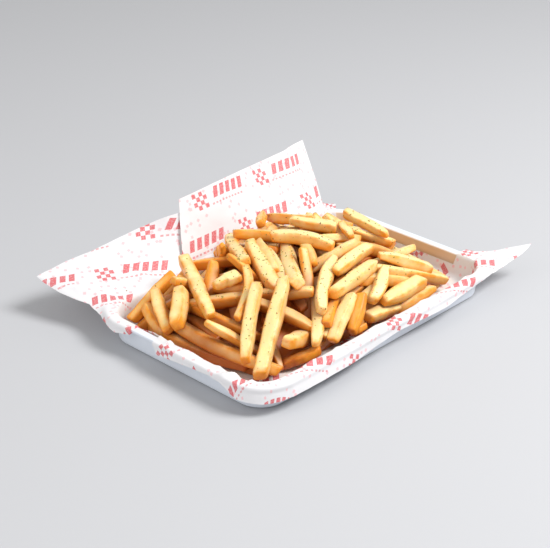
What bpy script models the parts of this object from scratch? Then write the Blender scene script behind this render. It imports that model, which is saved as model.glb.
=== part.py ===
"""Seasoned french fries heaped in a shallow white serving tray lined with two sheets of printed paper.

Metres, +Z up. The origin is the middle of the tray's underside, +X runs along its long side and +Y along its
short side. Sizes below are in millimetres.
"""

import math
import random

import bmesh
import bpy
import numpy as np
from mathutils import Matrix, Vector

MM = 0.001

# Tray
BASE_HALF = (111.0, 70.0)
BASE_CORNER = 18.0
TRAY_HEIGHT = 19.0
FLOOR_TOP = 2.2
LIP_OUT = 6.0
LIP_TOP_WIDTH = 5.0
CORNER_STEPS = 6
SIDE_STEPS = (12, 6)

# Paper
PAPER_THICK = 0.5
PAPER_GAP = 0.35
LOWER_LIFT = PAPER_GAP + PAPER_THICK / 2
UPPER_LIFT = LOWER_LIFT + PAPER_THICK + PAPER_GAP
TAIL_ROWS = 4
RIPPLE = 2.4
RIPPLE_GROWS = 30.0
RIPPLE_EVERY = 17.0

# Heap of fries
HEAP_HALF = (112.0, 74.0)
HEAP_BACK = 8.0
HEAP_EDGE = 20.0
HEAP_RISE = 38.0
HEAP_ROUND = 2.5
HEAP_FALL = 0.7
CORE_UNDER = 13.0
HEAP_FLOOR = FLOOR_TOP + UPPER_LIFT + PAPER_THICK / 2 + 0.4
WALL_CLEAR = 2.9
RIM_CLEAR = 21.8
RIM_REACH = 3.0
WALL_LEAN = 0.17
PRESS = 0.76
FRY_ROUND = 0.54
FRY_SHORT = 32.0
FILLER_FRIES = 64
FILLER_SEED = 11
FILLER_TRIES = 24
FILLER_SUNK = 8
FILLER_DEEPEST = 11
FILLER_LENGTH = (40.0, 74.0)
FILLER_SIDE = (7.6, 10.2)
BARE_STEP = 5.0
BARE_MARGIN = 8.0
BARE_LEAST = 2.0
CORE_GRID = (18, 12)
CORE_INSET = 10.5
CORE_REACH = 5.0
CORE_BITE = 1.2

# The eye that the heap is laid out from: what it aims at, how far it stands and its line of sight's two angles, and
# what turns an angle into the picture's points, which are counted from the top left
EYE_AIM = (28.35, 52.35, 0.0)
EYE_DISTANCE = 1004.26
EYE_DOWN = math.radians(26.98)
EYE_TURN = math.radians(43.73)
EYE_SCALE = 1418.2
PICTURE_MIDDLE = (275.0, 274.0)
POINTS_PER_MM = 1.487
CORNERWISE = 1.02

# Each fry that shows, from the top of the heap down: both ends and the width in the picture's points, then how far
# its middle bows out
SHOWN_FRIES = (
    (284, 282, 260, 373, 17.0, 0),
    (233, 234, 334, 244, 14.0, -6),
    (369, 248, 337, 269, 17.0, 0),
    (253, 247, 274, 284, 18.0, 0),
    (256, 291, 246, 359, 13.5, 1),
    (219, 287, 238, 277, 17.0, 0),
    (183, 259, 209, 315, 14.0, 0),
    (385, 257, 431, 266, 13.0, 0),
    (422, 281, 385, 299, 18.0, 0),
    (333, 257, 320, 310, 15.0, 7),
    (181, 293, 177, 323, 16.5, 0),
    (370, 268, 334, 292, 17.5, 0),
    (351, 297, 332, 340, 15.0, 0),
    (316, 314, 316, 346, 15.0, 0),
    (385, 269, 372, 299, 14.0, 0),
    (294, 221, 335, 227, 13.0, 0),
    (289, 248, 299, 284, 15.0, 0),
    (286, 296, 312, 291, 15.0, 0),
    (369, 317, 399, 308, 14.0, 0),
    (157, 292, 167, 325, 13.0, 0),
    (184, 327, 241, 356, 14.0, 2),
    (396, 275, 447, 279, 13.0, 0),
    (348, 215, 387, 233, 12.0, 0),
    (345, 214, 343, 235, 12.0, 0),
    (346, 231, 390, 242, 11.0, 0),
    (229, 237, 243, 260, 14.0, 0),
    (357, 244, 337, 254, 13.0, 0),
    (271, 246, 284, 268, 12.0, 0),
    (247, 266, 239, 319, 9.0, -7),
    (288, 342, 307, 337, 18.0, 0),
    (208, 324, 241, 342, 11.0, 0),
    (216, 303, 243, 303, 14.0, 0),
    (215, 288, 243, 287, 13.5, 0),
    (304, 251, 311, 284, 12.0, 0),
    (361, 305, 354, 331, 12.0, 0),
    (430, 289, 402, 305, 12.0, 0),
    (413, 248, 390, 257, 11.0, 0),
    (390, 244, 379, 252, 12.0, 0),
    (171, 337, 242, 364, 13.0, 3),
    (147, 308, 163, 330, 13.0, 0),
    (213, 318, 236, 325, 11.0, 0),
    (272, 346, 280, 368, 12.0, 0),
    (213, 263, 208, 294, 13.0, 0),
    (306, 299, 306, 342, 12.0, 0),
    (282, 319, 305, 321, 11.0, 0),
    (263, 211, 261, 228, 12.0, 0),
    (271, 218, 299, 220, 12.0, 0),
    (268, 290, 263, 330, 13.0, 0),
    (257, 281, 271, 292, 9.5, 0),
    (222, 263, 246, 262, 12.0, 0),
    (222, 247, 223, 264, 9.0, 0),
    (161, 289, 175, 276, 13.0, 0),
    (313, 215, 323, 226, 9.0, 0),
    (328, 217, 334, 228, 11.0, 0),
    (333, 290, 331, 312, 10.0, 0),
    (316, 352, 285, 363, 10.0, 0),
    (366, 326, 350, 333, 9.5, 0),
)

# The heap's outline against what stands behind it, from left to right in the picture's points
HEAP_SKYLINE = (
    (140, 306), (150, 293), (176, 273), (184, 258), (200, 277), (213, 261), (222, 244), (231, 230), (256, 227),
    (263, 211), (300, 215), (342, 211), (390, 237), (418, 247), (434, 264), (452, 282),
)

# How far each sheet runs past the tray's lip and the slope that it leaves at, against the way round the lip from the
# front corner
LOWER_RUNS = (
    (0, 10.5, -80), (60, 10.5, -80), (100, 6.5, -80), (150, 8, -80), (186, 4, -76), (193, 3.5, -60),
    (200, 5, -42), (206, 10, -20), (210, 19, -5), (214, 40, 6), (217, 17, 3), (219, 10.5, 2), (222, 6.5, 0),
    (225, 4.5, -4), (236, 4, -20), (320, 4, -20), (350, 5, 0), (366, 12, 38), (400, 28, 44), (480, 37, 54),
    (500, 39, 42), (515, 41, 33), (530, 43.5, 23), (540, 45.5, 17), (551, 49, 11), (556, 53, 6),
    (559.8, 57, 4), (564, 14, -8), (568, 8, -24), (572.5, 5, -45), (580, 5, -66), (589, 7, -78),
    (604, 3.5, -80), (625, 3.5, -80), (627.5, 8, -80), (651, 5.5, -80), (675, 3.5, -80),
    (688, 6, -80), (698, 10, -78), (712, 11, -76), (730.8, 10.5, -80),
)
# Ways where the sheet turns sharply, and the two boxes that its edge is cut back by: along the right wall, and off
# the lip on the left
LOWER_FOLD = (214.0, 217.5, 559.8, 625.0, 627.5)
LOWER_TRIMS = (((94.0, -44.0, 11.5), (165.0, 68.5, 40.0)), ((-130.0, 17.5, 2.0), (-111.6, 38.0, 30.0)))
UPPER_CORNER_END = 365.4
UPPER_FLOOR_REACH = (14.0, 40.0)
UPPER_RUNS = (
    (339, 3, 40), (350, 3.5, 46), (354, 11, 50), (357.6, 53, 54), (366, 49.5, 54), (393, 48.5, 56),
    (420, 47.5, 60), (450, 46.5, 63), (479, 45, 66),
)
UPPER_FOLD = (354.0, 357.6)


def new_material(name, colour, roughness):
    """A plain coat: colour in linear values, with the roughness given."""
    material = bpy.data.materials.new(name)
    material.use_nodes = True
    shader = material.node_tree.nodes["Principled BSDF"]
    shader.inputs["Base Color"].default_value = (*colour, 1.0)
    shader.inputs["Roughness"].default_value = roughness
    shader.inputs["Metallic"].default_value = 0.0
    material.diffuse_color = (*colour, 1.0)
    return material


def new_object(name, points, faces, material=None):
    """A mesh object from points in millimetres, with its faces turned outward."""
    mesh = bpy.data.meshes.new(name)
    mesh.from_pydata([tuple(MM * value for value in point) for point in points], [], faces)
    shape = bmesh.new()
    shape.from_mesh(mesh)
    bmesh.ops.recalc_face_normals(shape, faces=shape.faces)
    shape.to_mesh(mesh)
    shape.free()
    piece = bpy.data.objects.new(name, mesh)
    bpy.context.collection.objects.link(piece)
    if material:
        mesh.materials.append(material)
    return piece


def ring_faces(rings, around, first=0):
    """The quads between rings of points that follow each other."""
    faces = []
    for row in range(rings - 1):
        for column in range(around):
            after = (column + 1) % around
            low = first + row * around
            faces.append((low + column, low + after, low + around + after, low + around + column))
    return faces


def spot_at(way, offset):
    """The place at a way round the lip on the base's rounded outline moved out by offset, and its outward direction.

    The way starts at the front end of the front long side and runs to the right, the back and the left.
    """
    flats = (BASE_HALF[0] - BASE_CORNER, BASE_HALF[1] - BASE_CORNER)
    lip = BASE_CORNER + LIP_OUT
    radius = BASE_CORNER + offset
    for side in range(4):
        turn = math.radians(90 * side - 90)
        half, reach = flats if side % 2 == 0 else flats[::-1]
        out = (math.cos(turn), math.sin(turn))
        if way <= 2 * half:
            at = way - half
            return (-out[1] * at + out[0] * (reach + radius), out[0] * at + out[1] * (reach + radius), *out)
        way -= 2 * half
        if way < lip * math.radians(90) or side == 3:
            angle = turn + way / lip
            middle = (-out[1] * half + out[0] * reach, out[0] * half + out[1] * reach)
            x_out, y_out = math.cos(angle), math.sin(angle)
            return (middle[0] + radius * x_out, middle[1] + radius * y_out, x_out, y_out)
        way -= lip * math.radians(90)
    return None


def ways_round(corner_steps=CORNER_STEPS, side_steps=SIDE_STEPS):
    """Even steps of the way round the lip."""
    ways = []
    start = 0.0
    for side in range(4):
        flat = 2 * (BASE_HALF[side % 2] - BASE_CORNER)
        corner = (BASE_CORNER + LIP_OUT) * math.radians(90)
        steps = side_steps[side % 2]
        ways += [start + flat * step / steps for step in range(steps)]
        ways += [start + flat + corner * step / corner_steps for step in range(corner_steps)]
        start += flat + corner
    return ways


def build_tray(material):
    """The shallow tray: one wall with a flat lip, drawn as rounded outlines from the foot round to the floor."""
    inner = LIP_OUT - LIP_TOP_WIDTH
    rings = (
        (-3.0, 0.0),
        (-0.6, 0.7),
        (0.0, 1.8),
        (1.6, TRAY_HEIGHT - 3.4),
        (3.6, TRAY_HEIGHT - 2.7),
        (LIP_OUT - 0.6, TRAY_HEIGHT - 2.5),
        (LIP_OUT, TRAY_HEIGHT - 1.6),
        (LIP_OUT - 0.2, TRAY_HEIGHT - 0.5),
        (LIP_OUT - 1.0, TRAY_HEIGHT),
        (inner, TRAY_HEIGHT),
        (inner - 0.9, TRAY_HEIGHT - 0.9),
        (-1.6, FLOOR_TOP + 3.0),
        (-2.6, FLOOR_TOP + 0.9),
        (-4.6, FLOOR_TOP),
    )
    points = []
    for offset, height in rings:
        points += [(*spot_at(way, offset)[:2], height) for way in ways_round(CORNER_STEPS, (1, 1))]
    around = len(points) // len(rings)
    faces = ring_faces(len(rings), around)
    faces.append(tuple(range(around)))
    faces.append(tuple(range(len(points) - around, len(points))))
    tray = new_object("tray", points, faces, material)
    for face in tray.data.polygons:
        face.use_smooth = len(face.vertices) == 4
    return tray


def table_value(table, at, column):
    """A column of a run table at one place, between its rows in proportion."""
    return float(np.interp(at, [row[0] for row in table], [row[column] for row in table]))


def sheet_path(lift):
    """A sheet's line over the tray from the floor up and over the lip: (offset, height) for each fold."""
    inner = LIP_OUT - LIP_TOP_WIDTH
    return (
        (-14.0, FLOOR_TOP + lift),
        (-5.2 - lift, FLOOR_TOP + lift),
        (-2.4 - lift, FLOOR_TOP + 2.4 + lift),
        (inner - 0.9 - 1.1 * lift, TRAY_HEIGHT - 1.2),
        (inner - 0.3 - 0.4 * lift, TRAY_HEIGHT + lift),
        (LIP_OUT + 1.95 - 1.75 * lift, TRAY_HEIGHT + lift),
    )


def path_point(path, along):
    """The (offset, height) at a length along a path."""
    for start, end in zip(path, path[1:]):
        length = math.dist(start, end)
        if along <= length or end == path[-1]:
            part = along / length
            return (start[0] + part * (end[0] - start[0]), start[1] + part * (end[1] - start[1]))
        along -= length
    return path[-1]


def sheet_column(way, path, run, slope, rows):
    """One strip of a sheet from the floor outward: the path up to the lip, then a tail at the slope."""
    x, y, x_out, y_out = spot_at(way, 0.0)
    breaks = [0.0]
    for start, end in zip(path, path[1:]):
        breaks.append(breaks[-1] + math.dist(start, end))
    lip = breaks[-1]
    breaks += [lip + run * (row + 1) / rows for row in range(rows)]
    points = []
    for along in breaks:
        if along <= lip:
            offset, height = path_point(path, along)
        else:
            tail = along - lip
            start = path[-1]
            ripple = RIPPLE * min(tail / RIPPLE_GROWS, 1.0) * math.sin(way / RIPPLE_EVERY)
            angle = math.radians(slope)
            bend = min(tail / 4.0, 1.0)
            steep = angle * (0.5 + 0.5 * bend)
            offset = start[0] + tail * math.cos(steep) - ripple * math.sin(steep)
            height = start[1] + tail * math.sin(steep) + ripple * math.cos(steep)
        points.append((x + x_out * offset, y + y_out * offset, height))
    return points


def thicken(piece):
    """Gives a sheet its two faces, split alike."""
    shape = bmesh.new()
    shape.from_mesh(piece.data)
    bmesh.ops.triangulate(shape, faces=shape.faces, quad_method="FIXED")
    shape.to_mesh(piece.data)
    shape.free()
    solid = piece.modifiers.new("Thickness", "SOLIDIFY")
    solid.thickness = PAPER_THICK * MM
    solid.offset = 0.0
    solid.use_even_offset = True
    solid.use_quality_normals = True
    for face in piece.data.polygons:
        face.use_smooth = True


def trim(sheet, low, high):
    """Cuts a box, given by two corners, out of a sheet."""
    bpy.ops.mesh.primitive_cube_add(size=1.0, location=[0.5 * MM * (a + b) for a, b in zip(low, high)])
    cutter = bpy.context.object
    cutter.name = "trimmed_off"
    cutter.scale = [MM * (b - a) for a, b in zip(low, high)]
    cutter.hide_render = True
    cutter.display_type = "WIRE"
    cut = sheet.modifiers.new("Trim", "BOOLEAN")
    cut.object = cutter
    cut.operation = "DIFFERENCE"
    cut.solver = "EXACT"


def build_lower_sheet(material):
    """The sheet that lines the whole tray, hangs over the two near sides and stands out at three corners."""
    path = sheet_path(LOWER_LIFT)
    ways = sorted(ways_round() + list(LOWER_FOLD))
    columns = []
    for way in ways:
        run = table_value(LOWER_RUNS, way, 1)
        slope = table_value(LOWER_RUNS, way, 2)
        columns.append(sheet_column(way, path, run, slope, TAIL_ROWS))
    rows = len(columns[0])
    points = [column[row] for row in range(rows) for column in columns]
    around = len(columns)
    faces = ring_faces(rows, around)
    faces.append(tuple(range(around)))
    sheet = new_object("liner_lower", points, faces, material)
    thicken(sheet)
    for low, high in LOWER_TRIMS:
        trim(sheet, low, high)
    return sheet


def build_upper_sheet(material):
    """The second sheet, that covers the back wall and stands up behind the heap."""
    path = sheet_path(UPPER_LIFT)
    first, last = UPPER_RUNS[0][0], UPPER_RUNS[-1][0]
    columns = []
    for way in sorted({first, last, *UPPER_FOLD, *ways_round()}):
        if not first <= way <= last:
            continue
        run = table_value(UPPER_RUNS, way, 1)
        slope = table_value(UPPER_RUNS, way, 2)
        reach = float(np.interp(way, (UPPER_CORNER_END, UPPER_CORNER_END + 30.0), UPPER_FLOOR_REACH))
        column_path = ((-reach, path[0][1]), *path[1:])
        columns.append(sheet_column(way, column_path, run, slope, TAIL_ROWS))
    rows = len(columns[0])
    points = [point for column in columns for point in column]
    faces = []
    for column in range(len(columns) - 1):
        low = column * rows
        faces += [(low + row, low + row + 1, low + rows + row + 1, low + rows + row) for row in range(rows - 1)]
    sheet = new_object("liner_upper", points, faces, material)
    thicken(sheet)
    return sheet


def dome_top(x, y):
    """The height of the whole dome that the heap is part of."""
    spread = abs(x / HEAP_HALF[0]) ** HEAP_ROUND + abs((y - HEAP_BACK) / HEAP_HALF[1]) ** HEAP_ROUND
    return HEAP_EDGE + HEAP_RISE * max(0.0, 1.0 - spread) ** HEAP_FALL


def wall_distance(x, y):
    """How far outside the base's outline a place lies, below nought inside it."""
    right = abs(x) - (BASE_HALF[0] - BASE_CORNER)
    far = abs(y) - (BASE_HALF[1] - BASE_CORNER)
    return math.hypot(max(right, 0.0), max(far, 0.0)) + min(max(right, far), 0.0) - BASE_CORNER


def crossing(place, radius):
    """How deep a ball of food would reach into the tray or its paper, in millimetres."""
    x, y, z = place
    low = HEAP_FLOOR + radius - z
    side = wall_distance(x, y) + radius
    if z - radius >= RIM_CLEAR:
        return max(low, side - RIM_REACH)
    leaning = WALL_LEAN * (min(z, TRAY_HEIGHT) - TRAY_HEIGHT)
    return max(low, side + WALL_CLEAR + 0.2 - leaning)


def sight_lines():
    """The eye's place, and the directions ahead of it, to its right and above it."""
    ahead = Vector((
        math.cos(EYE_DOWN) * math.cos(EYE_TURN), math.cos(EYE_DOWN) * math.sin(EYE_TURN), -math.sin(EYE_DOWN)
    ))
    right = Vector((math.sin(EYE_TURN), -math.cos(EYE_TURN), 0.0))
    return Vector(EYE_AIM) - EYE_DISTANCE * ahead, ahead, right, right.cross(ahead)


def sight_line(across, down):
    """The eye's place and the direction of one point of the picture."""
    eye, ahead, right, above = sight_lines()
    sideways = (across - PICTURE_MIDDLE[0]) / EYE_SCALE
    upward = -(down - PICTURE_MIDDLE[1]) / EYE_SCALE
    return eye, (ahead + sideways * right + upward * above).normalized()


def in_picture(place):
    """A place's point in the picture."""
    eye, ahead, right, above = sight_lines()
    away = Vector(place) - eye
    scale = EYE_SCALE / away.dot(ahead)
    return PICTURE_MIDDLE[0] + scale * away.dot(right), PICTURE_MIDDLE[1] - scale * away.dot(above)


def skyline(across):
    """How high the heap's outline stands in the picture."""
    return float(np.interp(across, *zip(*HEAP_SKYLINE)))


def heap_top(x, y):
    """The height of the heap's top at a place: the dome, as far as it stays under the outline."""
    height = dome_top(x, y)
    across, down = in_picture((x, y, height))
    hidden = (skyline(across) - down) / (POINTS_PER_MM * math.cos(EYE_DOWN))
    return max(HEAP_FLOOR + 6.0, height - max(0.0, hidden))


def faces_eye(x, y):
    """Whether the heap's top at a place faces the eye."""
    slope = (heap_top(x + 1.0, y) - heap_top(x - 1.0, y), heap_top(x, y + 1.0) - heap_top(x, y - 1.0))
    outward = Vector((-0.5 * slope[0], -0.5 * slope[1], 1.0))
    return outward.dot(sight_lines()[1]) < 0.0


def above_skyline(line, radius):
    """Whether a fry would stand out above the heap's outline."""
    for place in line:
        across, down = in_picture(place)
        if down - radius * POINTS_PER_MM < skyline(across) - 1.0:
            return True
    return False


def on_heap(across, down, radius):
    """How far along a line of sight a fry's axis meets the heap: where it enters it, or else passes nearest."""
    eye, direction = sight_line(across, down)
    best, nearest = None, math.inf
    for step in range(560):
        distance = EYE_DISTANCE - 230.0 + step
        x, y, z = eye + distance * direction
        over = z - (dome_top(x, y) - radius) + max(0.0, 2.0 * (wall_distance(x, y) + 6.0))
        if over <= 0.0:
            return distance
        if over < nearest:
            best, nearest = distance, over
    return best


def samples(start, middle, end, count=11):
    """Points along a bowed fry's axis."""
    points = []
    for step in range(count):
        part = step / (count - 1)
        straight = start.lerp(end, part)
        bow = middle - 0.5 * (start + end)
        points.append(straight + 4.0 * part * (1.0 - part) * bow)
    return np.array([tuple(point) for point in points])


def overlap(line, radius, placed):
    """The most that a fry would press into the tray, the paper or the fries already there."""
    worst = max(crossing(place, radius) for place in line)
    for other, other_radius in placed:
        gaps = np.linalg.norm(line[:, None, :] - other[None, :, :], axis=2)
        worst = max(worst, PRESS * (radius + other_radius) - float(gaps.min()))
    return worst


def lay_shown(row, placed):
    """Lays one fry that shows: each end keeps to its line of sight and sinks or rises until the fry is clear."""
    across_0, down_0, across_1, down_1, wide, bow = row
    side = wide / POINTS_PER_MM / CORNERWISE
    radius = FRY_ROUND * side
    length = math.hypot(across_1 - across_0, down_1 - down_0)
    normal = ((down_0 - down_1) / length, (across_1 - across_0) / length)
    inset = 0.35 * wide / length
    ends = []
    for part in (inset, 1.0 - inset):
        spot = (across_0 + part * (across_1 - across_0), down_0 + part * (down_1 - down_0))
        ends.append((spot, on_heap(*spot, radius)))
    middle_spot = (
        0.5 * (across_0 + across_1) + bow * normal[0],
        0.5 * (down_0 + down_1) + bow * normal[1],
    )
    moves = [(a, b) for a in range(-14, 37, 2) for b in range(-14, 37, 2)]
    moves.sort(key=lambda move: sum(max(step, -1.6 * step) for step in move) + 0.4 * abs(move[0] - move[1]))
    best, least = None, math.inf
    for move in moves:
        distances = [ends[0][1] + move[0], ends[1][1] + move[1]]
        points = []
        for (spot, _), distance in zip(ends, distances):
            eye, direction = sight_line(*spot)
            points.append(eye + distance * direction)
        eye, direction = sight_line(*middle_spot)
        middle = eye + 0.5 * sum(distances) * direction
        worst = overlap(samples(points[0], middle, points[1]), radius, placed)
        if worst < least:
            best, least = (points[0], middle, points[1]), worst
        if worst <= 0.0:
            break
    return best, radius, side, least


def lay_filler(x, y, draw, placed):
    """Lays one fry over a bare place, along the heap and lower and lower until it is clear, or gives none."""
    for attempt in range(FILLER_TRIES):
        heading = draw.uniform(0.0, math.pi)
        half = 0.5 * draw.uniform(*FILLER_LENGTH) * (1.0 - 0.5 * attempt / FILLER_TRIES)
        side = draw.uniform(*FILLER_SIDE)
        radius = FRY_ROUND * side
        for sink in range(FILLER_SUNK if faces_eye(x, y) else 0, FILLER_DEEPEST, 2):
            points = []
            for sign in (-1.0, 1.0):
                end_x = x + sign * half * math.cos(heading)
                end_y = y + sign * half * math.sin(heading)
                points.append(Vector((end_x, end_y, heap_top(end_x, end_y) - radius - sink)))
            middle = 0.5 * (points[0] + points[1])
            middle.z = 0.35 * middle.z + 0.65 * (heap_top(x, y) - radius - sink)
            line = samples(points[0], middle, points[1])
            if not above_skyline(line, radius) and overlap(line, radius, placed) <= 0.0:
                return (points[0], middle, points[1]), radius, side
    return None


def bare_places():
    """An even grid of places over the heap, a fry's half width under its top."""
    places = []
    for row in range(-13, 14):
        for column in range(-21, 22):
            x, y = column * BARE_STEP, row * BARE_STEP
            if wall_distance(x, y) < -BARE_MARGIN:
                places.append((x, y, heap_top(x, y) - 5.0))
    return np.array(places)


def lay_fries():
    """Every fry's (start, middle, end), radius and side: the shown ones, then one at the barest place in turn."""
    fries, placed = [], []
    for row in SHOWN_FRIES:
        line, radius, side, least = lay_shown(row, placed)
        if least > 0.35 * radius:
            continue
        placed.append((samples(*line), radius))
        fries.append((line, radius, side))
    draw = random.Random(FILLER_SEED)
    places = bare_places()
    bare = np.full(len(places), math.inf)
    for line, radius in placed:
        bare = np.minimum(bare, np.linalg.norm(places[:, None] - line[None], axis=2).min(axis=1) - radius)
    fillers = 0
    while fillers < FILLER_FRIES and bare.max() > BARE_LEAST:
        barest = int(bare.argmax())
        laid = lay_filler(*places[barest][:2], draw, placed)
        bare[barest] = 0.0
        if laid:
            line, radius = samples(*laid[0]), laid[1]
            placed.append((line, radius))
            fries.append(laid)
            bare = np.minimum(bare, np.linalg.norm(places[:, None] - line[None], axis=2).min(axis=1) - radius)
            fillers += 1
    return fries


def fry_shape(name, line, side, draw):
    """One fry as a bowed bar of eight sides with its ends drawn in."""
    start, middle, end = line
    bowed = (middle - 0.5 * (start + end)).length > 0.5 or (end - start).length > FRY_SHORT
    axis = samples(start, middle, end, 4 if bowed else 3)
    ahead = (end - start).normalized()
    above = Vector((0.0, 0.0, 1.0))
    if abs(ahead.dot(above)) > 0.9:
        above = Vector((1.0, 0.0, 0.0))
    across = ahead.cross(above).normalized()
    above = across.cross(ahead)
    roll = Matrix.Rotation(draw.uniform(-0.35, 0.35), 3, ahead)
    across, above = roll @ across, roll @ above
    tall = side * draw.uniform(0.86, 1.0)
    reach = 0.45 * side
    stations = [(Vector(axis[0]) - reach * ahead, 0.72), (Vector(axis[0]) - 0.55 * reach * ahead, 1.0)]
    stations += [(Vector(point), draw.uniform(0.94, 1.06)) for point in axis[1:-1]]
    stations += [(Vector(axis[-1]) + 0.55 * reach * ahead, 1.0), (Vector(axis[-1]) + reach * ahead, 0.72)]
    section = ((0.5, 0.3), (0.3, 0.5), (-0.3, 0.5), (-0.5, 0.3), (-0.5, -0.3), (-0.3, -0.5), (0.3, -0.5), (0.5, -0.3))
    points = []
    for place, scale in stations:
        for wide, high in section:
            points.append(tuple(place + scale * (wide * side * across + high * tall * above)))
    faces = ring_faces(len(stations), 8)
    faces.append(tuple(range(8)))
    faces.append(tuple(range(len(points) - 8, len(points))))
    return new_object(name, points, faces)


def core_top(x, y, fries):
    """The core's height at a place: well under the heap's top, but up to the underside of any fry above the place."""
    height = heap_top(x, y) - CORE_UNDER + 1.6 * math.sin(x / 9.0) * math.cos(y / 8.0)
    for line, radius, _ in fries:
        for place in samples(*line):
            if math.hypot(place[0] - x, place[1] - y) < CORE_REACH:
                height = max(height, place[2] - radius + CORE_BITE)
    return max(HEAP_FLOOR + 3.5, height)


def build_core(fries):
    """The packed middle of the heap, under the fries that show."""
    grid = CORE_GRID
    half = (BASE_HALF[0] - CORE_INSET, BASE_HALF[1] - CORE_INSET)
    points = []
    for row in range(grid[1] + 1):
        for column in range(grid[0] + 1):
            right = 2.0 * column / grid[0] - 1.0
            far = 2.0 * row / grid[1] - 1.0
            x = half[0] * right * math.sqrt(1.0 - 0.16 * far ** 4)
            y = half[1] * far * math.sqrt(1.0 - 0.16 * right ** 4)
            points.append((x, y, core_top(x, y, fries)))
    across = grid[0] + 1
    faces = []
    for row in range(grid[1]):
        for column in range(grid[0]):
            low = row * across + column
            faces.append((low, low + 1, low + across + 1, low + across))
    edge = list(range(across))
    edge += [row * across + grid[0] for row in range(1, grid[1] + 1)]
    edge += [grid[1] * across + column for column in range(grid[0] - 1, -1, -1)]
    edge += [row * across for row in range(grid[1] - 1, 0, -1)]
    first = len(points)
    points += [(points[index][0], points[index][1], HEAP_FLOOR) for index in edge]
    for step, index in enumerate(edge):
        after = (step + 1) % len(edge)
        faces.append((index, first + step, first + after, edge[after]))
    faces.append(tuple(range(first, len(points))))
    return new_object("fries", points, faces)


def keep_largest(piece):
    """Keeps a mesh's largest closed skin, so that loose scraps go and sealed hollows are filled."""
    shape = bmesh.new()
    shape.from_mesh(piece.data)
    left = set(shape.verts)
    groups = []
    while left:
        group, edge = set(), [left.pop()]
        while edge:
            vertex = edge.pop()
            group.add(vertex)
            for link in vertex.link_edges:
                other = link.other_vert(vertex)
                if other in left:
                    left.remove(other)
                    edge.append(other)
        groups.append(group)
    groups.sort(key=len)
    for group in groups[:-1]:
        bmesh.ops.delete(shape, geom=list(group), context="VERTS")
    shape.to_mesh(piece.data)
    shape.free()


def build_fries(material):
    """The heap: the core with every laid fry fused on."""
    fries = lay_fries()
    core = build_core(fries)
    draw = random.Random(FILLER_SEED)
    loose = bpy.data.collections.new("loose")
    bpy.context.scene.collection.children.link(loose)
    for number, (line, _, side) in enumerate(fries):
        fry = fry_shape(f"fry_{number}", line, side, draw)
        bpy.context.collection.objects.unlink(fry)
        loose.objects.link(fry)
    fuse = core.modifiers.new("Fuse", "BOOLEAN")
    fuse.operation = "UNION"
    fuse.operand_type = "COLLECTION"
    fuse.collection = loose
    fuse.solver = "MANIFOLD"
    bpy.context.view_layer.objects.active = core
    bpy.ops.object.modifier_apply(modifier=fuse.name)
    for fry in list(loose.objects):
        bpy.data.objects.remove(fry)
    bpy.data.collections.remove(loose)
    keep_largest(core)
    core.data.materials.clear()
    core.data.materials.append(material)
    return core


def main():
    """Clears the scene and builds each part."""
    for piece in list(bpy.data.objects):
        bpy.data.objects.remove(piece)
    glaze = new_material("moulded_white", (0.80, 0.82, 0.85), 0.25)
    paper = new_material("printed_paper", (0.86, 0.85, 0.86), 0.6)
    crust = new_material("fried_potato", (0.83, 0.51, 0.14), 0.55)
    build_tray(glaze)
    build_lower_sheet(paper)
    build_upper_sheet(paper)
    build_fries(crust)


main()
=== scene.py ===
"""Seasoned french fries heaped on two sheets of printed greaseproof paper in a shallow white serving tray.

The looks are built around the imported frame: the moulded tray, both sheets with their print, the fries over
their own core, and the dried herbs on the fries and the paper. Sizes are in millimetres unless a name says
otherwise, and "way" is the length round the tray's lip from the front end of its front long side, to the
right, the back and the left.
"""

import logging
import math
import random
from collections.abc import Iterable, Sequence
from dataclasses import dataclass, field
from enum import Enum
from typing import Any

import bmesh
import bpy
import numpy as np
from mathutils import Matrix, Vector, noise
from mathutils.bvhtree import BVHTree


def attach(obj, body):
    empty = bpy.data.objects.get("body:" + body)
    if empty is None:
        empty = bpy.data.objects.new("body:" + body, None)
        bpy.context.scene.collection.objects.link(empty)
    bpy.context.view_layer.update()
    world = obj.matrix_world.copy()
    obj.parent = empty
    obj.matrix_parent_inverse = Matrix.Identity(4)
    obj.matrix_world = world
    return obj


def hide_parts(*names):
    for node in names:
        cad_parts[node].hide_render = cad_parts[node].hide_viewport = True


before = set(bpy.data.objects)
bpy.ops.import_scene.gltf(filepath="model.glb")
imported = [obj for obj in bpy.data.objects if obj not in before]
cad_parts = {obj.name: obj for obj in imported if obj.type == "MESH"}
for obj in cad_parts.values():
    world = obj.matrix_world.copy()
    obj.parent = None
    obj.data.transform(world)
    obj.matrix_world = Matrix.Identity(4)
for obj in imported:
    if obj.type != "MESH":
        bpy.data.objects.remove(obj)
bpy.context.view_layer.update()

MM = 0.001
BODY = "root"

LOG = logging.getLogger("fries_in_tray")

Table = Sequence[tuple[float, ...]]
Line = tuple[Vector, Vector, Vector]


class Slot(Enum):
    """The record's material slots."""

    TRAY = "tray"
    LINER = "liner"
    FRIES = "fries"


def linear(colour: str) -> tuple[float, float, float, float]:
    """Turns an sRGB hex colour into linear values.

    Args:
        colour: Six hex digits.

    Returns:
        Linear red, green, blue and an alpha of 1.
    """
    values = [int(colour[index:index + 2], 16) / 255.0 for index in (0, 2, 4)]
    red, green, blue = (v / 12.92 if v <= 0.04045 else ((v + 0.055) / 1.055) ** 2.4 for v in values)
    return red, green, blue, 1.0


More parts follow.
